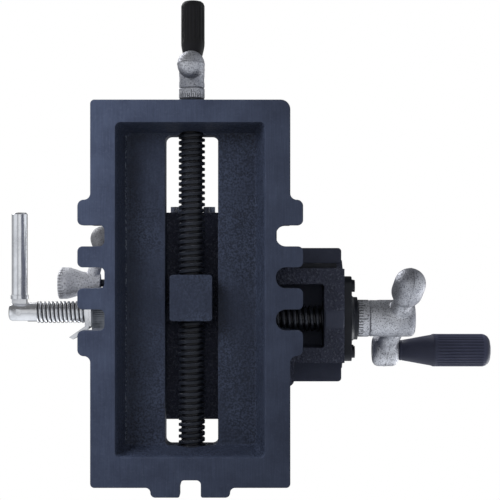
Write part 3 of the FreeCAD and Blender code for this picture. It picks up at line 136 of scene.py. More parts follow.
# Lamps: five large soft squares, three below for the photographed side and two above
# for the side that is used. The key below would show as a hard square in the metal,
# so reflections leave it out.
lamp_aim = Vector((0.02, -0.01, 0.05))
for name, place, size, power in (("key_below", (-0.36, -0.33, -0.33), 0.30, 3.1),
                                 ("front_below", (0.00, -0.25, -0.95), 0.80, 0.75),
                                 ("fill_below", (0.75, -0.65, -0.70), 0.6, 0.5),
                                 ("key_above", (-0.75, -0.85, 1.05), 0.8, 17.0),
                                 ("fill_above", (0.95, 0.55, 0.85), 1.0, 9.0)):
    lamp_data = bpy.data.lights.new(name, "AREA")
    lamp_data.shape = "SQUARE"
    lamp_data.size = size
    lamp_data.energy = power
    lamp = bpy.data.objects.new(name, lamp_data)
    lamp.location = place
    lamp.rotation_euler = (lamp_aim - Vector(place)).to_track_quat("-Z", "Y").to_euler()
    lamp.visible_glossy = name != "key_below"
    scene.collection.objects.link(lamp)


# Base: a hollow iron casting with dovetail ways, a cored pocket, a through window and
# open-slotted ears. Slate enamel is brushed on after fettling; painted shade darkens it
# above the foot, and painted light makes it paler towards the left.
def effect(name, sockets_in, sockets_out):
    """Empty shared effect: a node group with named inputs and outputs."""
    shared = bpy.data.node_groups.new(name, "ShaderNodeTree")
    for socket, kind, value in sockets_in:
        made = shared.interface.new_socket(socket, in_out="INPUT",
                                           socket_type="NodeSocket" + kind)
        made.default_value = value
    for socket, kind in sockets_out:
        shared.interface.new_socket(socket, in_out="OUTPUT", socket_type="NodeSocket" + kind)
    entry = shared.nodes.new("NodeGroupInput")
    leave = shared.nodes.new("NodeGroupOutput")
    return shared, entry.outputs, leave.inputs


def between(tree, amount, first, second):
    """Colour that goes from the first to the second as the amount goes from 0 to 1."""
    return node(tree, "Mix", {"data_type": "RGBA"}, Factor=amount, _6=first,
                _7=second).outputs[2]


# Sand-cast skin: grains from the mould, shallow pits and patches of tone.
sand_skin, given, wanted = effect(
    "sand_skin",
    [("Base", "Color", (0.1, 0.1, 0.1, 1)), ("Deep", "Color", (0.05, 0.05, 0.05, 1)),
     ("Speck", "Color", (0.3, 0.3, 0.3, 1)), ("Grain", "Float", 900.0),
     ("Specks", "Float", 0.3), ("Smooth", "Float", 0.5), ("Matt", "Float", 0.85)],
    [("Color", "Color"), ("Roughness", "Float"), ("Height", "Float")])
coords = node(sand_skin, "TexCoord").outputs["Object"]
grain = node(sand_skin, "TexNoise", Vector=coords, Scale=given["Grain"], Detail=3.0,
             Roughness=0.6).outputs["Fac"]
pits = node(sand_skin, "TexVoronoi", {"feature": "SMOOTH_F1"}, Vector=coords,
            Scale=given["Grain"]).outputs["Distance"]
patch = node(sand_skin, "TexNoise", Vector=coords, Scale=38.0, Detail=5.0,
             Roughness=0.62).outputs["Fac"]
patched = between(sand_skin, ramp(sand_skin, patch, 0.36, 0.66), given["Deep"], given["Base"])
fleck = times(sand_skin, ramp(sand_skin, grain, 0.51, 0.68), given["Specks"])
sand_skin.links.new(between(sand_skin, fleck, patched, given["Speck"]), wanted["Color"])
sand_skin.links.new(ramp(sand_skin, grain, 0.3, 0.7, given["Smooth"], given["Matt"]),
                    wanted["Roughness"])
height = node(sand_skin, "Math", {"operation": "ADD"}, _0=grain,
              _1=times(sand_skin, pits, 0.6))
sand_skin.links.new(height.outputs[0], wanted["Height"])

# Edges: the small round that every real edge has, and where it has rubbed bare.
edge_round, given, wanted = effect(
    "edge_round", [("Radius", "Float", 0.0007), ("Rub", "Float", 0.5)],
    [("Normal", "Vector"), ("Mask", "Float")])
bevel = node(edge_round, "Bevel", {"samples": 4}, Radius=given["Radius"]).outputs[0]
edge_round.links.new(bevel, wanted["Normal"])
flatness = node(edge_round, "VectorMath", {"operation": "DOT_PRODUCT"}, _0=bevel,
                _1=node(edge_round, "NewGeometry").outputs["Normal"]).outputs["Value"]
scuff = node(edge_round, "TexNoise", Vector=node(edge_round, "TexCoord").outputs["Object"],
             Scale=160.0, Detail=4.0).outputs["Fac"]
worn = times(edge_round, ramp(edge_round, flatness, 0.985, 0.86),
             ramp(edge_round, scuff, 0.42, 0.62))
edge_round.links.new(times(edge_round, worn, given["Rub"]), wanted["Mask"])

# Colour of old oil and dirt; on the lever's bulb and on the grips the same colour is painted
# shade.
oil_and_shade = (0.012, 0.012, 0.015, 1)


def placed(tree, shared, **values):
    """One shared effect placed in a material."""
    made = tree.nodes.new("ShaderNodeGroup")
    made.node_tree = shared
    for name, value in values.items():
        made.inputs[name].default_value = value
    return made.outputs


def finish(name, skin, values, metallic, depth, edge, rub, bare, coat=0.0, shine=0.5, tint=1.0):
    """Material of one skin with bumps of a depth, and rounded edges that have rubbed bare."""
    material = bpy.data.materials.new(name)
    material.use_nodes = True
    tree = material.node_tree
    shader = tree.nodes["Principled BSDF"]
    surface = placed(tree, skin, **values)
    edges = placed(tree, edge_round, Radius=edge, Rub=rub)
    rubbed = between(tree, edges["Mask"], surface["Color"], bare)
    # Each point's grime value darkens the colour: old oil and dirt on some pieces, painted shade
    # on others.
    grime_and_shade = node(tree, "Attribute", {"attribute_name": "grime_and_shade"}).outputs["Fac"]
    bump = node(tree, "Bump", Strength=1.0, Distance=depth, Height=surface["Height"],
                Normal=edges["Normal"])
    tree.links.new(between(tree, grime_and_shade, rubbed, oil_and_shade), shader.inputs["Base Color"])
    tree.links.new(surface["Roughness"], shader.inputs["Roughness"])
    tree.links.new(bump.outputs[0], shader.inputs["Normal"])
    shader.inputs["Metallic"].default_value = metallic
    shader.inputs["Coat Weight"].default_value = coat
    shader.inputs["Coat Roughness"].default_value = 0.25
    shader.inputs["Specular IOR Level"].default_value = shine
    shader.inputs["Specular Tint"].default_value = (tint, tint, tint, 1)
    return material


def dress(material, *names):
    """The finish on CAD nodes whose shape is right as it is."""
    for name in names:
        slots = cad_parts[name].data.materials
        slots.clear()
        slots.append(material)


slate_enamel = finish(
    "slate_enamel", sand_skin,
    {"Base": (0.060, 0.076, 0.127, 1), "Deep": (0.041, 0.052, 0.090, 1),
     "Speck": (0.11, 0.13, 0.19, 1), "Grain": 420.0, "Specks": 0.22},
    metallic=0.0, depth=0.00012, edge=0.0009, rub=0.35, bare=(0.15, 0.17, 0.23, 1),
    coat=0.06, shine=0.28)
tree = slate_enamel.node_tree
shader = tree.nodes["Principled BSDF"]
paint = shader.inputs["Base Color"].links[0].from_socket
bump = shader.inputs["Normal"].links[0].from_node
coords = node(tree, "TexCoord").outputs["Object"]
level = node(tree, "SeparateXYZ", Vector=coords).outputs

# Painted shade: the enamel is darker above the foot, in the pocket. Painted light: it is
# paler towards the left. It is also streaked along the base by the brush.
foot_top = 0.0006
pocket_rim = 0.004
# Painted shade: darker above the foot, where the pocket lies in shade.
painted_shade_above_foot = ramp(tree, level["Z"], foot_top, 0.006, 1.0, 0.66)
# Painted light: paler towards the left and darker towards the right, as if lit from the left.
painted_light_from_left = ramp(tree, level["X"], -0.080, 0.066, 1.22, 0.80)
stretched = node(tree, "Mapping", {"vector_type": "POINT"}, Scale=(1.0, 0.05, 1.0),
                 Vector=coords).outputs[0]
strokes = node(tree, "TexNoise", Vector=stretched, Scale=1100.0, Detail=3.0).outputs["Fac"]
brushed = ramp(tree, strokes, 0.35, 0.65, 0.93, 1.09)

# Above the foot moulding sand shows through it in patches, and the bumps are coarser.
sand = node(tree, "TexNoise", Vector=coords, Scale=850.0, Detail=2.0).outputs["Fac"]
dots = ramp(tree, sand, 0.40, 0.60, 0.55, 1.40)
drift = node(tree, "TexNoise", Vector=coords, Scale=24.0, Detail=3.0).outputs["Fac"]
worst = ramp(tree, drift, 0.42, 0.60, 0.25, 1.0)
grit = times(tree, worst, ramp(tree, level["Z"], foot_top, pocket_rim))
gritty = node(tree, "Mix", {"data_type": "FLOAT"}, _0=grit, _2=1.0, _3=dots).outputs[0]
# Brush streaks and sand, with the painted shade and painted light above.
tones_and_painted_light = times(tree, times(tree, painted_shade_above_foot, times(tree, painted_light_from_left, gritty)), brushed)
shaded = node(tree, "Mix", {"data_type": "RGBA", "blend_type": "MULTIPLY"}, Factor=1.0,
              _6=paint, _7=tones_and_painted_light).outputs[2]
coarse = ramp(tree, level["Z"], foot_top, pocket_rim, 0.00006, 0.00035)
tree.links.new(coarse, bump.inputs["Distance"])

# Deep in the pocket it has chipped in a broken line along the left side.
chip_line = -0.0446
chip_width = 0.0006
chip_level = 0.019
chip_colour = (0.34, 0.38, 0.46, 1)
nearby = node(tree, "Math", {"operation": "COMPARE"}, _0=level["X"], _1=chip_line,
              _2=chip_width).outputs[0]
deep = node(tree, "Math", {"operation": "GREATER_THAN"}, _0=level["Z"],
            _1=chip_level).outputs[0]
flakes = node(tree, "TexNoise", Vector=coords, Scale=620.0, Detail=3.0).outputs["Fac"]
chipped = times(tree, times(tree, nearby, deep), ramp(tree, flakes, 0.50, 0.62, 0.0, 0.75))
tree.links.new(between(tree, chipped, shaded, chip_colour), shader.inputs["Base Color"])
dress(slate_enamel, "base_casting")

# Rear bushes and screw collar: turned bronze rings. The bushes are pressed into the
# castings, and the collar is pinned on the base leadscrew behind the rear wall.
metal_marks, given, wanted = effect(
    "metal_marks",
    [("Base", "Color", (0.6, 0.6, 0.6, 1)), ("Stain", "Color", (0.3, 0.3, 0.3, 1)),
     ("Grain", "Float", 700.0), ("Stains", "Float", 0.4), ("Smooth", "Float", 0.25),
     ("Matt", "Float", 0.45)],
    [("Color", "Color"), ("Roughness", "Float"), ("Height", "Float")])
coords = node(metal_marks, "TexCoord").outputs["Object"]
grain = node(metal_marks, "TexNoise", Vector=coords, Scale=given["Grain"], Detail=2.0)
smear = node(metal_marks, "TexNoise", Vector=coords, Scale=70.0, Detail=6.0,
             Roughness=0.68).outputs["Fac"]
stained = times(metal_marks, ramp(metal_marks, smear, 0.45, 0.68), given["Stains"])
metal_marks.links.new(between(metal_marks, stained, given["Base"], given["Stain"]),
                      wanted["Color"])
metal_marks.links.new(ramp(metal_marks, smear, 0.3, 0.7, given["Smooth"], given["Matt"]),
                      wanted["Roughness"])
metal_marks.links.new(grain.outputs["Fac"], wanted["Height"])
turned_bronze = finish(
    "turned_bronze", metal_marks,
    {"Base": (0.42, 0.29, 0.13, 1), "Stain": (0.20, 0.14, 0.08, 1), "Grain": 700.0,
     "Stains": 0.6, "Smooth": 0.25, "Matt": 0.5},
    metallic=1.0, depth=0.00002, edge=0.0003, rub=0.3, bare=(0.55, 0.40, 0.20, 1))
dress(turned_bronze, "base_rear_bush", "cross_rear_bush", "screw_collar")

# Base leadscrew: a blackened steel bar with a coarse square-shouldered thread. Its
# front is turned down for bush, dial and crank, and its tail for the rear bush.
touching = 1e-6
oil_at_root = 0.85
clean_end = 0.1


def piece(bm, name, body, material, sharp=35, replaced=()):
    """A finished mesh on its body, sharp where faces turn by more than sharp degrees."""
    bmesh.ops.recalc_face_normals(bm, faces=bm.faces[:])
    for face in bm.faces:
        face.smooth = True
    for edge in bm.edges:
        flat_enough = edge.calc_face_angle(0.0) < math.radians(sharp)
        edge.smooth = len(edge.link_faces) == 2 and flat_enough
    mesh = bpy.data.meshes.new(name)
    bm.to_mesh(mesh)
    bm.free()
    mesh.materials.append(material)
    made = bpy.data.objects.new(name, mesh)
    scene.collection.objects.link(made)
    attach(made, body)
    if replaced:
        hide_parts(*replaced)


def turned(bm, outline, steps=72):
    """Turned shape about X from (distance along X, radius) points in millimetres."""
    chain = [bm.verts.new((along * mm, radius * mm, 0)) for along, radius in outline]
    edges = [bm.edges.new(pair) for pair in zip(chain, chain[1:])]
    bmesh.ops.spin(bm, geom=chain + edges, cent=(0, 0, 0), axis=(1, 0, 0), dvec=(0, 0, 0),
                   angle=2 * math.pi, steps=steps, use_merge=True)
    bmesh.ops.remove_doubles(bm, verts=bm.verts[:], dist=touching)


def thread(bm, start, end, outline, pitch):
    """Thread about X: one pitch's outline swept round and along, faced off at both ends."""
    steps = 40
    spare_turns = 3
    turns = math.ceil((end - start) / pitch) + spare_turns
    first = start - spare_turns / 2 * pitch
    points = [(first + (turn + along) * pitch, radius)
              for turn in range(turns) for along, radius in outline]
    chain = [bm.verts.new((along * mm, radius * mm, 0)) for along, radius in points]
    edges = [bm.edges.new(pair) for pair in zip(chain, chain[1:])]
    bmesh.ops.spin(bm, geom=chain + edges, cent=(0, 0, 0), axis=(1, 0, 0),
                   dvec=(pitch * mm / steps, 0, 0), angle=2 * math.pi, steps=steps,
                   use_merge=False)
    bmesh.ops.remove_doubles(bm, verts=bm.verts[:], dist=touching)
    for plane, outward in ((start, -1), (end, 1)):
        bmesh.ops.bisect_plane(bm, geom=bm.verts[:] + bm.edges[:] + bm.faces[:],
                               plane_co=(plane * mm, 0, 0), plane_no=(outward, 0, 0),
                               clear_outer=True)
        rim = [edge for edge in bm.edges if edge.is_boundary
               and all(abs(vert.co.x - plane * mm) < touching for vert in edge.verts)]
        bmesh.ops.holes_fill(bm, edges=rim, sides=0)


def joined(parts):
    """Several shells in one mesh."""
    whole = bmesh.new()
    for part in parts:
        loose = bpy.data.meshes.new("loose")
        part.to_mesh(loose)
        part.free()
        whole.from_mesh(loose)
        bpy.data.meshes.remove(loose)
    return whole


def lay(bm, place, along, across=(0, 0, 1)):
    """Turns a shape made about X so that X lies along and Y across, and puts it in place."""
    along = Vector(along).normalized()
    across = Vector(across).normalized()
    turn = Matrix((along, across, along.cross(across))).transposed().to_4x4()
    matrix = Matrix.Translation(Vector(place) * mm) @ turn
    bmesh.ops.transform(bm, matrix=matrix, verts=bm.verts[:])
    return bm


def share(value):
    """A value held between 0 and 1."""
    return min(1.0, max(0.0, value))


def soil(bm, place, along, start, end, crest, depth):
    """Old oil in a thread's grooves, as a value on each point, darkest at the roots."""
    grime_and_shade = bm.verts.layers.float.new("grime_and_shade")
    for vert in bm.verts:
        offset = vert.co / mm - Vector(place)
        reach = offset.dot(Vector(along))
        if start + clean_end < reach < end - clean_end:
            radius = (offset - Vector(along) * reach).length
            vert[grime_and_shade] = share((crest - radius) / depth) * oil_at_root


leadscrew_pitch = 4.0
square_thread = ((0.0, 7.2), (0.30, 7.2), (0.42, 8.9), (0.47, 9.0), (0.86, 9.0), (0.91, 8.9))


def leadscrew(place, along, start, end, front, tail):
    """Square-threaded bar from start to end, with a turned shape at its front and tail."""
    bar = bmesh.new()
    thread(bar, start, end, square_thread, leadscrew_pitch)
    shells = [bar]
    for outline in (front, tail):
        shell = bmesh.new()
        turned(shell, outline)
        shells.append(shell)
    screw = lay(joined(shells), place, along)
    soil(screw, place, along, start, end, crest=8.7, depth=1.2)
    return screw


black_oxide = finish(
    "black_oxide", metal_marks,
    {"Base": (0.016, 0.019, 0.028, 1), "Stain": (0.008, 0.010, 0.015, 1), "Grain": 900.0,
     "Stains": 0.7, "Smooth": 0.30, "Matt": 0.5},
    metallic=0.1, depth=0.00003, edge=0.0004, rub=0.9, bare=(0.34, 0.36, 0.42, 1), shine=0.3)
base_screw_z = 28
screw = leadscrew(
    (0, 0, base_screw_z), (0, 1, 0), start=-113.7, end=108.7,
    front=((-158.3, 0), (-158.3, 4.4), (-157.7, 5.0), (-132.3, 5.0), (-132.3, 6.0),
           (-113.5, 6.0), (-113.5, 0)),
    tail=((108.5, 0), (108.5, 5.0), (119.5, 5.0), (120.0, 4.5), (120.0, 0)))
piece(screw, "base_screw_bar", "base_screw", black_oxide,
      replaced=["base_leadscrew"])

# Cross leadscrew: the same thread on a bar that runs under the vise body. It is oiled
# rather than blackened, and its front carries the large crank.
oiled_steel = finish(
    "oiled_steel", metal_marks,
    {"Base": (0.060, 0.066, 0.085, 1), "Stain": (0.022, 0.026, 0.036, 1), "Grain": 900.0,
     "Stains": 0.6, "Smooth": 0.25, "Matt": 0.4},
    metallic=0.3, depth=0.00003, edge=0.0004, rub=0.9, bare=(0.50, 0.52, 0.58, 1), shine=0.4)
cross_y, cross_z = 19, 61
screw = leadscrew(
    (0, cross_y, cross_z), (1, 0, 0), start=-47.7, end=90.7,
    front=((90.5, 0), (90.5, 7.5), (115.3, 7.5), (115.3, 7.0), (154.3, 7.0), (155.1, 6.2),
           (155.1, 0)),
    tail=((-57.5, 0), (-57.5, 4.5), (-57.0, 5.0), (-47.5, 5.0), (-47.5, 0)))
piece(screw, "cross_screw_bar", "cross_screw", oiled_steel,
      replaced=["cross_leadscrew"])

# Cranks: aluminium castings, balanced by a ball, tumbled so that every corner is soft,
# with the parting line that the mould's halves leave. Each is pinned on its screw.
cad_touching = 2e-6


def cast_skin(node_name, voxel, rounds, origin, normal, ridge):
    """The CAD solid as one soft skin, with a low ridge where it crosses the mould's plane."""
    source = bmesh.new()
    source.from_mesh(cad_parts[node_name].data)
    bmesh.ops.remove_doubles(source, verts=source.verts[:], dist=cad_touching)
    mesh = bpy.data.meshes.new("rough_" + node_name)
    source.to_mesh(mesh)
    source.free()
    rough_object = bpy.data.objects.new("rough_" + node_name, mesh)
    scene.collection.objects.link(rough_object)
    remesh = rough_object.modifiers.new("skin", "REMESH")
    remesh.mode = "VOXEL"
    remesh.voxel_size = voxel * mm
    bpy.context.view_layer.update()
    skinned = rough_object.evaluated_get(bpy.context.evaluated_depsgraph_get())
    bm = bmesh.new()
    bm.from_mesh(skinned.to_mesh())
    skinned.to_mesh_clear()
    bpy.data.objects.remove(rough_object)
    bpy.data.meshes.remove(mesh)
    for _ in range(rounds):
        bmesh.ops.smooth_vert(bm, verts=bm.verts[:], factor=0.5, use_axis_x=True,
                              use_axis_y=True, use_axis_z=True)
    bm.normal_update()
    # The parting line wanders a little, and dirt lies on it here and there.
    normal = Vector(normal).normalized()
    grime_and_shade = bm.verts.layers.float.new("grime_and_shade")
    ridge_half, line_half = 0.9, 0.5
    for vert in bm.verts:
        span = vert.co.length / mm
        wander = 0.25 * math.sin(span * 0.9) + 0.15 * math.sin(span * 2.3)
        away = abs((vert.co - Vector(origin) * mm).dot(normal) / mm + wander)
        if away < ridge_half and abs(vert.normal.dot(normal)) < 0.6:
            vert.co += vert.normal * ridge * mm * (1 - away / ridge_half)
            patchy = 0.5 + 0.3 * math.sin(vert.co.length / mm * 1.7)
            vert[grime_and_shade] = max(0.0, 1 - away / line_half) * patchy
    return bm


cast_aluminium = finish(
    "cast_aluminium", sand_skin,
    {"Base": (0.73, 0.74, 0.78, 1), "Deep": (0.35, 0.36, 0.40, 1),
     "Speck": (0.06, 0.062, 0.08, 1), "Grain": 1150.0, "Specks": 0.95, "Smooth": 0.36,
     "Matt": 0.55},
    metallic=0.8, depth=0.00030, edge=0.0005, rub=0.3, bare=(0.8, 0.81, 0.84, 1), tint=0.3)
bm = cast_skin("base_crank", voxel=0.55, rounds=4, origin=(0, -153.8, 13),
               normal=(0, 34, -4.1), ridge=0.2)
piece(bm, "base_crank_casting", "base_screw", cast_aluminium, sharp=60,
      replaced=["base_crank"])

# The large crank's arm leans by 10.8 mm over its 76 mm, and its mould parts along it.
arm_span, arm_lean = 76, 10.8
arm_tilt = math.radians(52)
weight_x, weight_reach = 148.5, 36
arm = Vector((0, math.cos(arm_tilt), math.sin(arm_tilt)))
bm = cast_skin("cross_crank", voxel=0.7, rounds=5,
               origin=(weight_x, cross_y - weight_reach * arm.y, cross_z - weight_reach * arm.z),
               normal=Vector((arm_span, 0, 0)) + arm_lean * arm, ridge=0.25)
piece(bm, "cross_crank_casting", "cross_screw", cast_aluminium, sharp=60,
      replaced=["cross_crank"])


# Clamp lever: a paler casting of the same kind on a black threaded stud. Its hub is
# ribbed round the big end, and its arm leans a little and ends in a bulb.
def groove_at(across, up, count):
    """How deep a point lies in one of count grooves round a shape: 1 at the bottom."""
    return 0.5 + 0.5 * math.cos(math.atan2(up, across) * count)


cast_lever = finish(
    "cast_lever", sand_skin,
    {"Base": (0.86, 0.87, 0.92, 1), "Deep": (0.60, 0.61, 0.66, 1),
     "Speck": (0.12, 0.12, 0.14, 1), "Grain": 1000.0, "Specks": 0.75, "Smooth": 0.45,
     "Matt": 0.65},
    metallic=0.5, depth=0.00030, edge=0.0005, rub=0.3, bare=(0.8, 0.81, 0.84, 1), tint=0.3)
stud_y, stud_z = -4.5, 117
hub_ribs, rib_depth, rib_root, ribs_from, ribs_fade = 30, 0.35, 7, -96, 4
hub_start, hub_end, hub_core = -98, -72.5, 4.5
hub_radius, hub_radius_x, hub_taper = 11.1, -99, 0.18
arm_side = -13
shade_from, shade_fade = -16, 8
bulb_lean, lean_from, lean_over = 6, -10, 24
bm = cast_skin("lock_lever", voxel=0.5, rounds=4, origin=(-78, stud_y, stud_z),
               normal=(0, 0, 1), ridge=0.2)
grime_and_shade = bm.verts.layers.float["grime_and_shade"]
for vert in bm.verts:
    up, out = vert.co.z / mm - stud_z, vert.co.y / mm - stud_y
    reach = math.hypot(up, out)
    if vert.co.x < ribs_from * mm and reach > rib_root and out > arm_side:
        fading = min(1.0, (ribs_from - vert.co.x / mm) / ribs_fade)
        groove = groove_at(out, up, hub_ribs) * fading
        vert.co.y -= rib_depth * mm * groove * out / reach
        vert.co.z -= rib_depth * mm * groove * up / reach
        vert[grime_and_shade] = max(vert[grime_and_shade], 0.6 * groove ** 2)
    # The hub is filled out to a straight taper, except where the arm leaves it.
    fuller = hub_radius - (vert.co.x / mm - hub_radius_x) * hub_taper
    outward = (vert.normal.y * out + vert.normal.z * up) / max(reach, 0.1)
    on_hub = hub_start * mm < vert.co.x < hub_end * mm and hub_core < reach < fuller
    if on_hub and outward > 0.4:
        vert.co.y += out * mm * (fuller / reach - 1)
        vert.co.z += up * mm * (fuller / reach - 1)
    # Painted shade: the arm darkens towards the bulb.
    vert[grime_and_shade] = max(vert[grime_and_shade], 0.72 * share((shade_from - vert.co.y / mm) / shade_fade))
    vert.co.x += bulb_lean * mm * share((lean_from - vert.co.y / mm) / lean_over)
piece(bm, "lock_lever_casting", "clamp_lever", cast_lever, sharp=60,
      replaced=["lock_lever"])
dress(black_oxide, "lock_stud")

# Crank pins and grip spindles: bright steel, driven through crank and screw or
# screwed into the crank's end.
bright_steel = finish(
    "bright_steel", metal_marks,
    {"Base": (0.84, 0.85, 0.88, 1), "Stain": (0.48, 0.49, 0.52, 1), "Grain": 700.0,
     "Stains": 0.45, "Smooth": 0.12, "Matt": 0.30},
    metallic=0.84, depth=0.00002, edge=0.0003, rub=0.3, bare=(0.75, 0.76, 0.78, 1), tint=0.25)
dress(bright_steel, "base_crank_pin", "cross_crank_pin", "base_grip_spindle",
      "cross_grip_spindle")

# Dials: collars turned from the cranks' aluminium, each on its screw between bearing
# and crank, with a fine scale cut round the edge and filled with black.
dial_marks = 40
tenth_mark, fifth_mark, short_mark = 0.75, 0.58, 0.38
mark_margin, mark_width, mark_height = 0.06, 0.048, 0.06
dial_corner = 0.4


def dial(name, body, place, along, across, radius, length, bore, replaced):
    """Plain collar with longer marks at each fifth and tenth line of its scale."""
    bm = bmesh.new()
    turned(bm, ((0, bore), (0, radius - dial_corner), (dial_corner, radius),
                (length - dial_corner, radius), (length, radius - dial_corner),
                (length, bore), (0, bore)), steps=120)
    piece(lay(bm, place, along, across), name, body, cast_aluminium,
          sharp=30, replaced=[replaced])
    scale = bmesh.new()
    for step in range(dial_marks):
        reach = tenth_mark if step % 10 == 0 else fifth_mark if step % 5 == 0 else short_mark
        middle = length * (reach / 2 + mark_margin)
        matrix = (Matrix.Rotation(2 * math.pi * step / dial_marks, 4, "X")
                  @ Matrix.Translation((middle * mm, radius * mm, 0))
                  @ Matrix.Diagonal((length * reach * mm, mark_height * mm,
                                     radius * mark_width * mm, 1)))
        bmesh.ops.create_cube(scale, size=1.0, matrix=matrix)
    piece(lay(scale, place, along, across), name + "_scale", body,
          black_oxide, sharp=30)


dial("cross_dial_collar", "cross_screw", (115.3, cross_y, cross_z), (1, 0, 0), (0, 1, 0),
     radius=13.0, length=8.0, bore=7.2, replaced="cross_dial")
dial("base_dial_collar", "base_screw", (0, -132.3, base_screw_z), (0, -1, 0), (0, 0, 1),
     radius=8.7, length=7.0, bore=5.1, replaced="base_dial")


# Grips: moulded plastic, waisted next to the crank and finely fluted where the
# fingers turn them, each free on its steel spindle. The small one is blacker.
shade_in_flutes, shade_at_ends = 0.6, 0.45


def press_in(vert, sink):
    """Moves a point of a shape made about X nearer to its axis."""
    reach = math.hypot(vert.co.y, vert.co.z)
    vert.co.y *= 1 - sink / reach
    vert.co.z *= 1 - sink / reach


def grip(name, body, place, along, across, outline, fluted, flutes, depth, material,
         replaced):
    """Turned grip with shallow flutes between two distances along it, with painted shade beyond
    them and in the flutes.
    """
    bm = bmesh.new()
    turned(bm, outline, steps=flutes * 6)
    grime_and_shade = bm.verts.layers.float.new("grime_and_shade")
    start, end = fluted
    for vert in bm.verts:
        # Painted shade: darker at the neck and the end beyond the flutes, and deepest in the
        # flutes.
        beyond = max((start - vert.co.x / mm) / 2, (vert.co.x / mm - end) / 4)
        vert[grime_and_shade] = shade_at_ends * share(beyond)
        if start * mm < vert.co.x < end * mm:
            sink = depth * mm * groove_at(vert.co.y, vert.co.z, flutes) ** 1.5
            press_in(vert, sink)
            vert[grime_and_shade] = shade_in_flutes * sink / (depth * mm)
    piece(lay(bm, place, along, across), name, body, material, sharp=50,
          replaced=[replaced])


dark_plastic = finish(
    "dark_plastic", metal_marks,
    {"Base": (0.108, 0.118, 0.200, 1), "Stain": (0.086, 0.094, 0.164, 1), "Grain": 1800.0,
     "Stains": 0.6, "Smooth": 0.42, "Matt": 0.58},
    metallic=0.0, depth=0.00002, edge=0.0004, rub=0.2, bare=(0.09, 0.095, 0.13, 1),
    shine=0.28)
black_plastic = finish(
    "black_plastic", metal_marks,
    {"Base": (0.0100, 0.0100, 0.0104, 1), "Stain": (0.007, 0.007, 0.0074, 1),
     "Grain": 1800.0, "Stains": 0.6, "Smooth": 0.5, "Matt": 0.65},
    metallic=0.0, depth=0.00002, edge=0.0004, rub=0.2, bare=(0.03, 0.03, 0.032, 1),
    shine=0.16)
grip("cross_grip_moulding", "cross_handle", (147.5, 43.6, 92.5), (1, 0, 0), (0, 1, 0),
     outline=((0, 0), (0, 6.6), (0.5, 7.2), (1.6, 7.4), (1.9, 7.1), (2.2, 7.4), (8, 8.4),
              (16, 9.9), (23.5, 11.2), (24.2, 11.6), (24.8, 11.8), (26.5, 11.8),
              (28.5, 11.8), (40, 11.8), (50, 11.8), (60, 11.8), (60.8, 11.75),
              (62.6, 11.2), (64.3, 10.0), (65.5, 8.0), (66, 5.5), (66, 0)),
     fluted=(27.5, 60.5), flutes=32, depth=0.6, material=dark_plastic,
     replaced="cross_grip")
grip("base_grip_moulding", "base_handle", (0, -156, 47), (0, -1, 0), (0, 0, 1),
     outline=((0, 0), (0, 4.9), (0.5, 5.4), (4, 5.7), (8, 6.6), (12, 7.6), (15, 8.1),
              (17.5, 8.2), (19, 8.2), (30, 8.2), (41, 8.2), (42.5, 8.15), (44.4, 7.4),
              (45.6, 6.0), (46, 4.5), (46, 0)),
     fluted=(18, 42), flutes=20, depth=0.5, material=black_plastic, replaced="base_grip")

# Saddle: a rough dark iron casting, left as it came from the mould and only sprayed,
# with a dovetail below and one across it on top. A ground gib takes up the play.
sand_iron = finish(
    "sand_iron", sand_skin,
    {"Base": (0.086, 0.095, 0.148, 1), "Deep": (0.054, 0.060, 0.094, 1),
     "Speck": (0.24, 0.26, 0.34, 1), "Grain": 620.0, "Specks": 0.7},
    metallic=0.0, depth=0.00120, edge=0.0009, rub=0.3, bare=(0.12, 0.13, 0.17, 1), shine=0.3)
ground_steel = finish(
    "ground_steel", metal_marks,
    {"Base": (0.50, 0.51, 0.53, 1), "Stain": (0.36, 0.37, 0.39, 1), "Grain": 1500.0,
     "Stains": 0.4, "Smooth": 0.22, "Matt": 0.36},
    metallic=1.0, depth=0.00001, edge=0.0004, rub=0.4, bare=(0.70, 0.71, 0.73, 1))
dress(sand_iron, "saddle_casting")
dress(ground_steel, "saddle_gib")
dress(black_oxide, "saddle_gib_screws")
dress(bright_steel, "saddle_end_screws")

# Base nut: an iron block that hangs from the saddle into the base's window, where the
# base leadscrew runs through it. It has the base's enamel and one black screw.
dress(slate_enamel, "base_nut")
dress(black_oxide, "base_nut_screw")

# Front bearings: blackened bushes for both leadscrews, and the cross screw's bearing
# plate, which four screws hold on the end of the saddle's arm.
dress(black_oxide, "base_front_bush", "cross_front_bush", "cross_bearing_plate",
      "cross_bearing_screws")

# Rib of the saddle casting: a half-round swelling under the bearing at the end of the
# arm, under the same smooth enamel as the vise body.
# Painted light: a smoother copy of the base's enamel, made lighter to make up for the shade
# under the vise body.
lightened_vise_enamel = finish(
    "lightened_vise_enamel", sand_skin,
    {"Base": (0.092, 0.104, 0.158, 1), "Deep": (0.070, 0.080, 0.122, 1),
     "Speck": (0.14, 0.15, 0.20, 1), "Grain": 520.0, "Specks": 0.3},
    metallic=0.0, depth=0.00016, edge=0.0009, rub=0.4, bare=(0.15, 0.16, 0.20, 1),
    coat=0.03, shine=0.3)
rib_z = 45
rib_cut = -4.9
bm = bmesh.new()
turned(bm, ((91.2, 0), (91.2, 7.6), (92.0, 8.4), (104.0, 8.4), (104.8, 7.6), (104.8, 0)),
       steps=48)
bmesh.ops.bisect_plane(bm, geom=bm.verts[:] + bm.edges[:] + bm.faces[:],
                       plane_co=(0, 0, rib_cut * mm), plane_no=(0, 0, 1), clear_outer=True)
bmesh.ops.holes_fill(bm, edges=[edge for edge in bm.edges if edge.is_boundary], sides=0)
piece(lay(bm, (0, cross_y, rib_z), (1, 0, 0), (0, 1, 0)), "arm_bearing_rib", "saddle",
      lightened_vise_enamel)

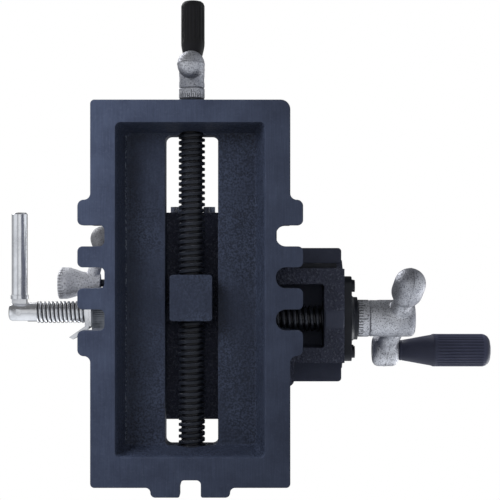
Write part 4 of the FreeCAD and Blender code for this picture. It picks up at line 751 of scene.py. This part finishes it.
# Vise body: an iron casting with the fixed jaw and its ground plate. It slides on the
# saddle against a gib with screws and lock nuts, and the cross nut is bolted under it.
dress(lightened_vise_enamel, "vise_body", "cross_nut")
dress(black_oxide, "cross_nut_bolts", "vise_gib", "vise_gib_screws", "vise_gib_locknuts")
dress(ground_steel, "fixed_jaw_plate")
dress(bright_steel, "fixed_jaw_screws")

# Moving jaw: the same casting and jaw plate. A ground keeper bolted below holds it
# down on its slide, and a retainer screwed behind ties it to the clamping screw.
dress(lightened_vise_enamel, "movable_jaw")
dress(ground_steel, "movable_jaw_plate", "jaw_keeper", "screw_retainer")
dress(bright_steel, "movable_jaw_screws", "jaw_keeper_bolts", "retainer_screws")

# Bush of the clamping screw: turned steel with a finely ribbed rim, pressed into the
# boss of the vise body over two bent plates.
worn_steel = finish(
    "worn_steel", metal_marks,
    {"Base": (0.15, 0.16, 0.18, 1), "Stain": (0.05, 0.055, 0.065, 1), "Grain": 900.0,
     "Stains": 0.8, "Smooth": 0.25, "Matt": 0.42},
    metallic=0.9, depth=0.00003, edge=0.0003, rub=0.4, bare=(0.55, 0.56, 0.60, 1))
clamp_y, clamp_z = 16.5, 106
bush_x = -75.7
bush_ribs = 66
ribs_start, ribs_end = 1.5, 11.7
bush_rib_depth = 0.45
bm = bmesh.new()
turned(bm, ((0, 8.05), (0, 14.2), (0.8, 14.9), (1.4, 14.9), (1.6, 15.0), (11.6, 15.0),
            (11.9, 14.9), (12.7, 14.9), (12.7, 12.0), (37.7, 12.0), (37.7, 8.05),
            (0, 8.05)), steps=bush_ribs * 4)
for vert in bm.verts:
    if ribs_start * mm < vert.co.x < ribs_end * mm:
        press_in(vert, bush_rib_depth * mm * groove_at(vert.co.y, vert.co.z, bush_ribs))
piece(lay(bm, (bush_x, clamp_y, clamp_z), (1, 0, 0), (0, 1, 0)), "screw_bush_ribbed", "vise",
      worn_steel, sharp=50, replaced=["screw_bush"])
dress(bright_steel, "tab_washer", "tab_plate")

# Clamping screw: a plated bar with a vee thread and a journal for the moving jaw. Its
# forked head, kept from the CAD solid, holds the folding handle on a pin.
head_end = -116.0
thread_end = 4.4
vee_pitch = 3.0
vee_thread = ((0.0, 6.5), (0.07, 6.5), (0.15, 7.0), (0.25, 7.7), (0.38, 8.0), (0.68, 8.0),
              (0.81, 7.7), (0.91, 7.0))
head = bmesh.new()
head.from_mesh(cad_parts["vise_screw"].data)
bmesh.ops.remove_doubles(head, verts=head.verts[:], dist=cad_touching)
bmesh.ops.bisect_plane(head, geom=head.verts[:] + head.edges[:] + head.faces[:],
                       plane_co=(head_end * mm, 0, 0), plane_no=(1, 0, 0), clear_outer=True)
bmesh.ops.holes_fill(head, edges=[edge for edge in head.edges if edge.is_boundary], sides=0)
bar = bmesh.new()
thread(bar, head_end, thread_end, vee_thread, vee_pitch)
journal = bmesh.new()
turned(journal, ((4.2, 0), (4.2, 5.5), (25.4, 5.5), (26.0, 4.9), (26.0, 0)))
shaft = lay(joined([bar, journal]), (0, clamp_y, clamp_z), (1, 0, 0), (0, 1, 0))
screw = joined([head, shaft])
soil(screw, (0, clamp_y, clamp_z), (1, 0, 0), head_end, thread_end, crest=7.4, depth=0.8)
piece(screw, "clamp_screw_bar", "clamp_screw", bright_steel,
      replaced=["vise_screw"])
dress(bright_steel, "handle_pin", "handle_bar")
